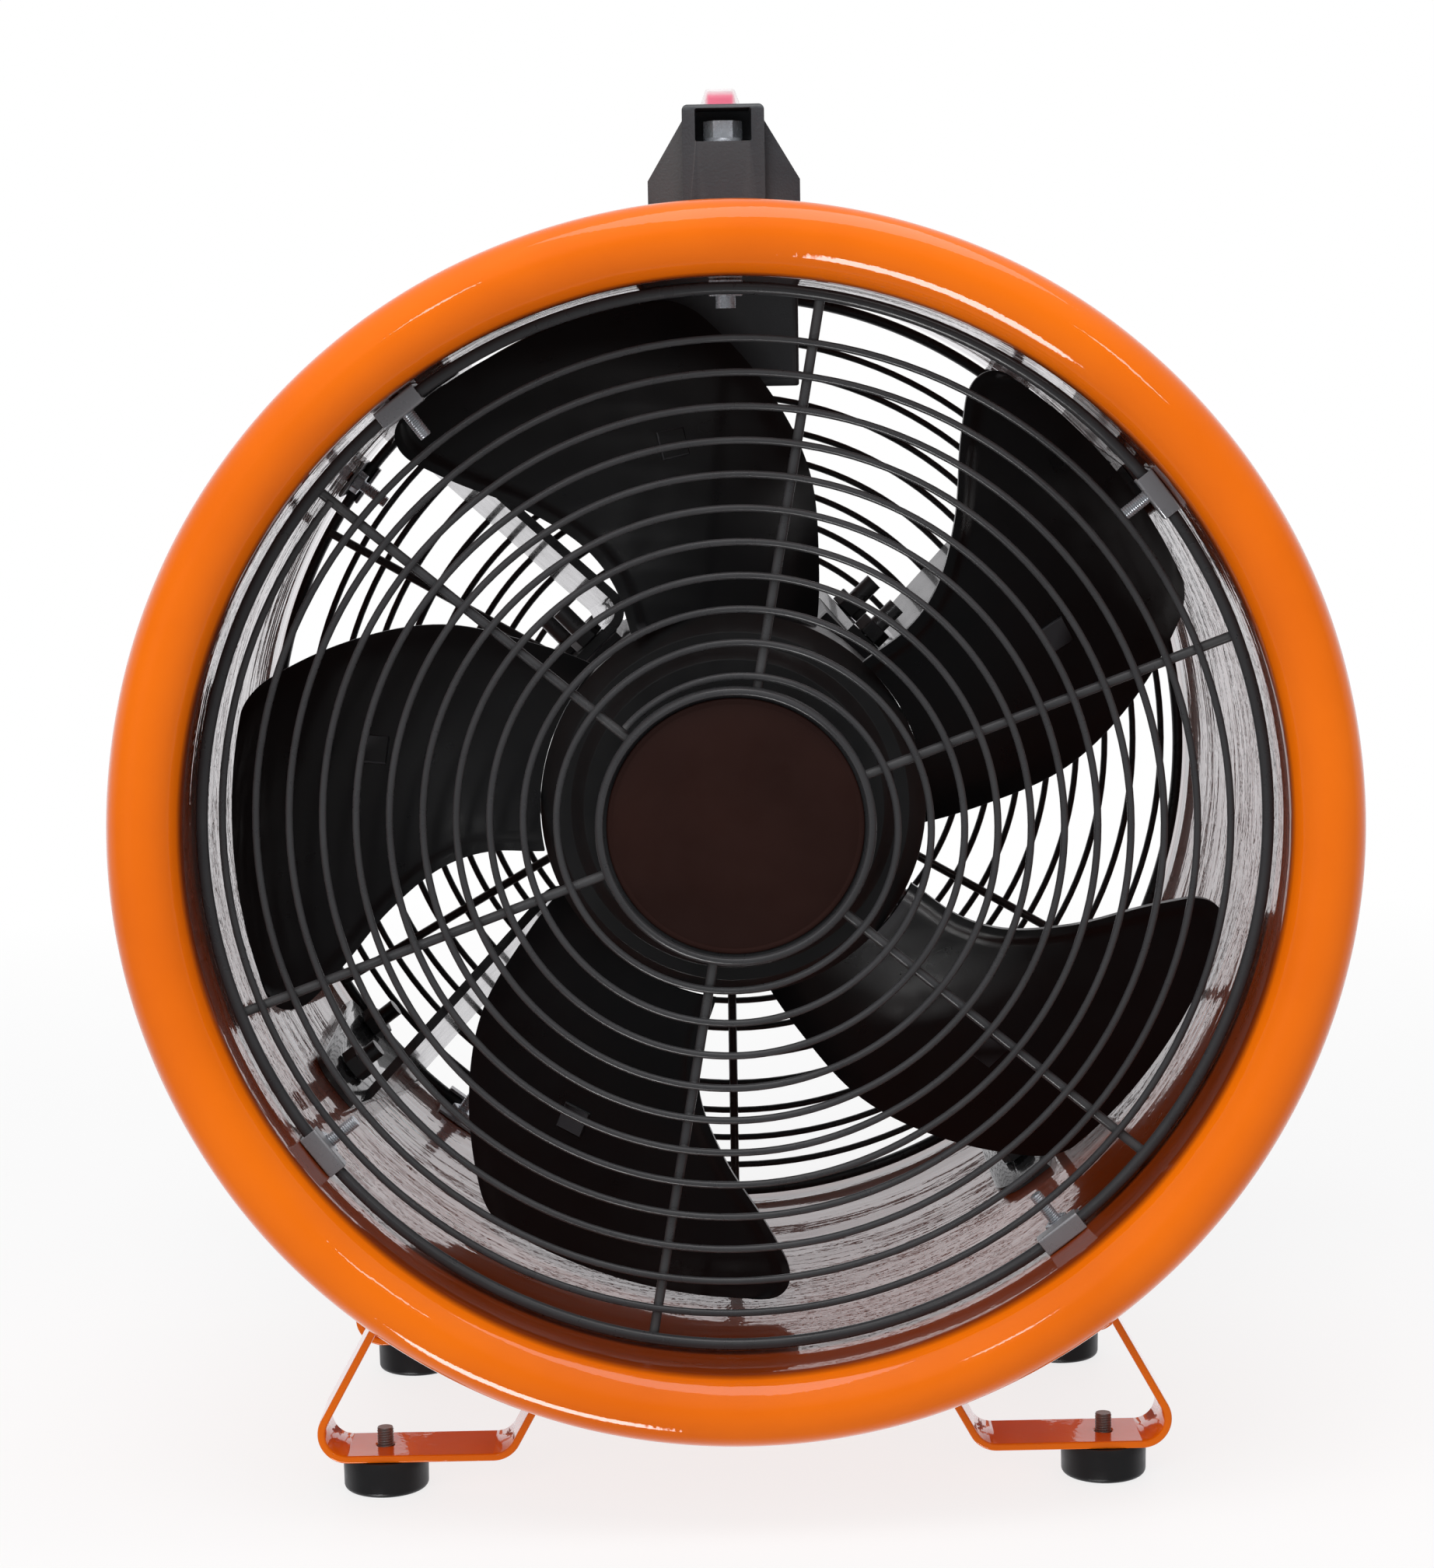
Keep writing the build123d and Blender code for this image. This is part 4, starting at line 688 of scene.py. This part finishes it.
def build_blade(number):
    """Twisted sheet with a folded lip along its leading edge and a thinned trailing edge."""
    turn = BLADE_TURN + 72 * number
    blade = Shape()
    rounding_starts = BLADE_TIP_R - TIP_ROUND_LEADING
    step = (rounding_starts - BLADE_ROOT_R) / BLADE_ROWS
    reaches = [BLADE_ROOT_R + step * k for k in range(BLADE_ROWS)]
    for k in range(BLADE_TIP_ROWS):
        share = math.sin(math.pi / 2 * k / (BLADE_TIP_ROWS - 1))
        reaches.append(rounding_starts + TIP_ROUND_LEADING * share)
    columns = BLADE_COLUMNS
    front, back = [], []
    for reach in reaches:
        start_cut = math.degrees(corner_cut(reach, TIP_ROUND_TRAILING) / reach)
        end_cut = math.degrees(corner_cut(reach, TIP_ROUND_LEADING) / reach)
        start = curve_value(TRAILING_EDGE, reach) + start_cut
        end = curve_value(LEADING_EDGE, reach) - end_cut
        front_row, back_row = [], []
        for k in range(columns + 1):
            share = 0.5 - 0.5 * math.cos(math.pi * k / columns)
            angle = start + (end - start) * share
            local = math.radians(angle - BLADE_TURN)
            depth = blade_depth(reach * math.sin(local), reach * math.cos(local))
            edge = math.radians(end - angle) * reach
            rim = math.radians(angle - start) * reach
            lip = 0.9 * smooth_step(5.5, 3.0, edge)
            thin = 0.5 * smooth_step(10.0, 0.0, rim)
            world = angle + turn - BLADE_TURN
            front_row.append(place(world, reach, depth - lip + thin))
            back_row.append(place(world, reach, depth + BLADE_SHEET - thin))
        front.append(front_row)
        back.append(list(reversed(back_row)))
    blade.grid([f + b for f, b in zip(front, back)])
    wide = 2 * (columns + 1)
    last = (len(front) - 1) * wide
    for k in range(columns):
        blade.faces.append((k, k + 1, wide - 2 - k, wide - 1 - k))
        blade.faces.append((last + k, last + k + 1, last + wide - 2 - k, last + wide - 1 - k))
    across, distance = PAD_SPOT
    rise_out = (blade_depth(across, distance + 1) - blade_depth(across, distance - 1)) / 2
    rise_around = (blade_depth(across + 1, distance) - blade_depth(across - 1, distance)) / 2
    out = place(turn, 1, 0) - place(turn, 0, 0)
    around = place(turn + 90, 1, 0) - place(turn + 90, 0, 0)
    spot = place(turn, distance, blade_depth(across, distance) + 0.8) + around * across
    pad = frame_at(spot, Vector((0, -MM, 0)) + out * rise_out + around * rise_around, out + around)
    blade.lathe([(PAD_R, 0), (PAD_R, PAD_HEIGHT - 0.3), (PAD_R - 0.5, PAD_HEIGHT)], pad, count=4)
    blade.make(f"fan_blade_{number + 1}", "impeller_plastic", "impeller",
               (f"blade_{number + 1}",), sharp=50, bevel=0.75)


def smooth_step(outer, inner, value):
    share = max(0.0, min(1.0, (value - outer) / (inner - outer)))
    return share * share * (3 - 2 * share)


# ---------------------------------------------------------------- threads

def build_threads():
    """Clip screws with their domed heads, and the feet's studs."""
    screws = Shape()
    back = Vector((0, 1, 0))
    screw_length = CLIP_SCREW_START_R - CLIP_SCREW_TIP_R
    rows = ((FRONT_CLIP_TURN, CLIP_SCREW_DEPTH), (REAR_CLIP_TURN, LENGTH - CLIP_SCREW_DEPTH))
    for first, depth in rows:
        for k in range(4):
            turn = first + 90 * k
            out = place(turn, 1, depth) - place(turn, 0, depth)
            start = frame_at(place(turn, CLIP_SCREW_START_R, depth), -out, back)
            screws.thread(CLIP_SCREW_R, screw_length, CLIP_SCREW_PITCH, start, count=18)
            head = frame_at(place(turn, SHELL_R + 0.1, depth), out, back)
            screws.lathe(SCREW_HEAD, head, count=32)
    screws.make("screw_threads", "zinc", "machine", ("clip_screws",), sharp=60)
    studs = Shape()
    stud_length = LEG_BOTTOM + LEG_SHEET + STUD_RISE - STUD_BOTTOM
    for x in (-FOOT_X, FOOT_X):
        for y in (LEG_DEPTH - LENGTH / 2, LENGTH / 2 - LEG_DEPTH):
            base = frame_at(Vector((x, y, STUD_BOTTOM)) * MM, Vector((0, 0, 1)), Vector((1, 0, 0)))
            studs.thread(STUD_R, stud_length, STUD_PITCH, base, count=20)
    studs.make("foot_stud_threads", "stud_steel", "machine", ("foot_studs",), sharp=60)


# ---------------------------------------------------------------- carried-over pieces

BEVELS = {
    "handle_body": 0.7, "handle_cover": 0.5, "front_left_leg": 0.7, "front_right_leg": 0.7,
    "rear_left_leg": 0.7, "rear_right_leg": 0.7, "grille_clips": 0.25, "clip_nuts": 0.35,
    "handle_bolts": 0.35, "handle_nuts": 0.4, "strut_bolts": 0.35, "strut_nuts": 0.4,
    "impeller_hub": 0.6, "hub_nut": 0.5, "hub_washer": 0.3, "motor_strut_1": 0.5, "motor_strut_2": 0.5,
    "motor_strut_3": 0.5, "motor_strut_4": 0.5, "terminal_box": 0.4, "motor_casing": 0.5,
    "motor_front_cover": 0.5, "motor_rear_cover": 0.5, "switch_housing": 0.3, "switch_rocker": 0.4,
    "rubber_feet": 0.6, "lead_gland": 0.3, "lead_grommet": 0.3,
}


def dress_frame():
    """Gives every carried-over piece its finish, and the listed ones a softened edge."""
    for name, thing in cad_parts.items():
        look = "hub_plastic" if name == "impeller_hub" else node_slot(name)
        thing.data.materials.clear()
        thing.data.materials.append(LOOKS[look])
        if name in BEVELS:
            weld = thing.modifiers.new("weld", "WELD")
            weld.merge_threshold = 0.00001
            add_bevel(thing, BEVELS[name], segments=2)


def node_slot(name):
    """The finish slot for a CAD node."""
    if name == "duct_weld_seam" or name.endswith("_leg"):
        return "orange_paint"
    if name in ("rubber_feet", "lead_grommet", "motor_lead"):
        return "black_rubber"
    if name == "grille_clips":
        return "clip_steel"
    if name in ("clip_nuts", "handle_bolts", "handle_nuts", "foot_studs", "hub_nut", "hub_washer",
                "clip_screws"):
        return "zinc"
    if name in ("strut_bolts", "strut_nuts", "strut_studs", "motor_tie_bolts"):
        return "dark_fastener"
    if name.startswith("motor_strut"):
        return "strut_steel"
    if name == "impeller_hub" or name.startswith("blade_"):
        return "impeller_plastic"
    if name in ("motor_front_cover", "motor_rear_cover"):
        return "motor_cover_alloy"
    if name in ("motor_stator", "motor_rotor"):
        return "lamination_steel"
    if name in ("motor_shaft", "hub_key") or name.startswith("bearing_"):
        return "bright_steel"
    single = {
        "motor_casing": "motor_paint", "motor_windings": "copper_winding", "switch_rocker": "rocker_red",
        "switch_boot": "boot_clear", "front_grille_badge": "badge_plate", "duct_shell": "orange_paint",
    }
    if name in single:
        return single[name]
    if "_grille_" in name:
        return "grille_paint"
    return "handle_plastic"


# ---------------------------------------------------------------- studio

def panel(name, spot, aim, size, power, mirrored):
    """A rectangular light that faces its aim."""
    data = bpy.data.lights.new(name, "AREA")
    data.shape = "RECTANGLE"
    data.size, data.size_y = size
    data.energy = power
    thing = bpy.data.objects.new(name, data)
    thing.location = spot
    thing.rotation_mode = "QUATERNION"
    thing.rotation_quaternion = (Vector(aim) - Vector(spot)).to_track_quat("-Z", "Y")
    thing.visible_glossy = mirrored
    bpy.context.scene.collection.objects.link(thing)


def band(tree, value, low, high):
    """One between low and high and nothing outside, with short ramps."""
    rise = ranged(tree, value, 0, 1, low - STRIP_RAMP, low)
    fall = ranged(tree, value, 1, 0, high, high + STRIP_RAMP)
    return both(tree, rise, fall)


def build_world():
    """Plain white behind the object; it is lit by a soft grey room, brightest at the back."""
    world = bpy.data.worlds.new("studio")
    bpy.context.scene.world = world
    world.use_nodes = True
    tree = world.node_tree
    back = tree.nodes["Background"]
    coords = tree.nodes.new("ShaderNodeTexCoord")
    split = tree.nodes.new("ShaderNodeSeparateXYZ")
    tree.links.new(coords.outputs["Generated"], split.inputs[0])
    depth_light = mixed(tree, ranged(tree, split.outputs["Y"], 0, 1, *BACK_STARTS), ROOM_FRONT, ROOM_BACK)
    room = mixed(tree, ranged(tree, split.outputs["Z"], 0, 1, *TOP_STARTS), depth_light, ROOM_TOP)
    across = band(tree, split.outputs["X"], *STRIP_ACROSS)
    ahead = ranged(tree, split.outputs["Y"], 1, 0, *AHEAD)
    strip = both(tree, both(tree, across, band(tree, split.outputs["Z"], *STRIP_UP)), ahead)
    room = mixed(tree, strip, room, STRIP_LIGHT)
    path = tree.nodes.new("ShaderNodeLightPath")
    seen = mixed(tree, path.outputs["Is Camera Ray"], room, WHITE)
    tree.links.new(seen, back.inputs[0])
    back.inputs[1].default_value = 1.0


def build_floor():
    """Pale floor that meets the white surroundings without a line."""
    made, tree, surface = shader("floor")
    coords = tree.nodes.new("ShaderNodeTexCoord")
    away = tree.nodes.new("ShaderNodeVectorMath")
    away.operation = "LENGTH"
    tree.links.new(coords.outputs["Object"], away.inputs[0])
    shade = noise(tree, 3, detail=3.0)
    paper = mixed(tree, ranged(tree, shade, 0, 1), PAPER_DARK, PAPER_LIGHT)
    tree.links.new(paper, surface.inputs["Base Color"])
    tree.links.new(ranged(tree, shade, 0.45, 0.6), surface.inputs["Roughness"])
    glow = tree.nodes.new("ShaderNodeEmission")
    glow.inputs[0].default_value = WHITE + (1,)
    blend = tree.nodes.new("ShaderNodeMixShader")
    tree.links.new(ranged(tree, away.outputs["Value"], *FLOOR_GLOW, *FLOOR_FADE), blend.inputs[0])
    tree.links.new(surface.outputs[0], blend.inputs[1])
    tree.links.new(glow.outputs[0], blend.inputs[2])
    out = [node for node in tree.nodes if node.type == "OUTPUT_MATERIAL"][0]
    tree.links.new(blend.outputs[0], out.inputs[0])
    work = bmesh.new()
    angles = [math.tau * k / FLOOR_SIDES for k in range(FLOOR_SIDES)]
    rows = []
    for reach in FLOOR_RINGS:
        rows.append([work.verts.new((reach * math.cos(a), reach * math.sin(a), 0)) for a in angles])
    work.faces.new(rows[0])
    for low, high in zip(rows, rows[1:]):
        for k in range(FLOOR_SIDES):
            after = (k + 1) % FLOOR_SIDES
            work.faces.new((low[k], high[k], high[after], low[after]))
    mesh = bpy.data.meshes.new("floor")
    work.to_mesh(mesh)
    work.free()
    mesh.materials.append(made)
    floor = bpy.data.objects.new("floor", mesh)
    floor.visible_glossy = False
    bpy.context.scene.collection.objects.link(floor)


def build_camera():
    """Looks slightly down at the front mouth."""
    data = bpy.data.cameras.new("camera")
    data.sensor_width = CAMERA_SENSOR
    data.lens = CAMERA_LENS
    data.clip_start = CAMERA_NEAR
    camera = bpy.data.objects.new("camera", data)
    bpy.context.scene.collection.objects.link(camera)
    tilt = Matrix.Rotation(-math.radians(CAMERA_YAW), 3, "Z")
    tilt = tilt @ Matrix.Rotation(math.pi / 2 - math.radians(CAMERA_PITCH), 3, "X")
    tilt = tilt @ Matrix.Rotation(-math.radians(CAMERA_ROLL), 3, "Z")
    camera.rotation_mode = "QUATERNION"
    camera.rotation_quaternion = tilt.to_quaternion()
    camera.location = CAMERA_PLACE
    bpy.context.scene.camera = camera


bpy.context.scene.view_settings.view_transform = "Standard"
dress_frame()
build_duct()
build_grille("front", FRONT_SPOKES)
build_grille("rear", REAR_SPOKES)
build_badge()
for blade_number in range(5):
    build_blade(blade_number)
build_threads()
build_world()
build_floor()
for settings in PANELS:
    panel(*settings)
build_camera()
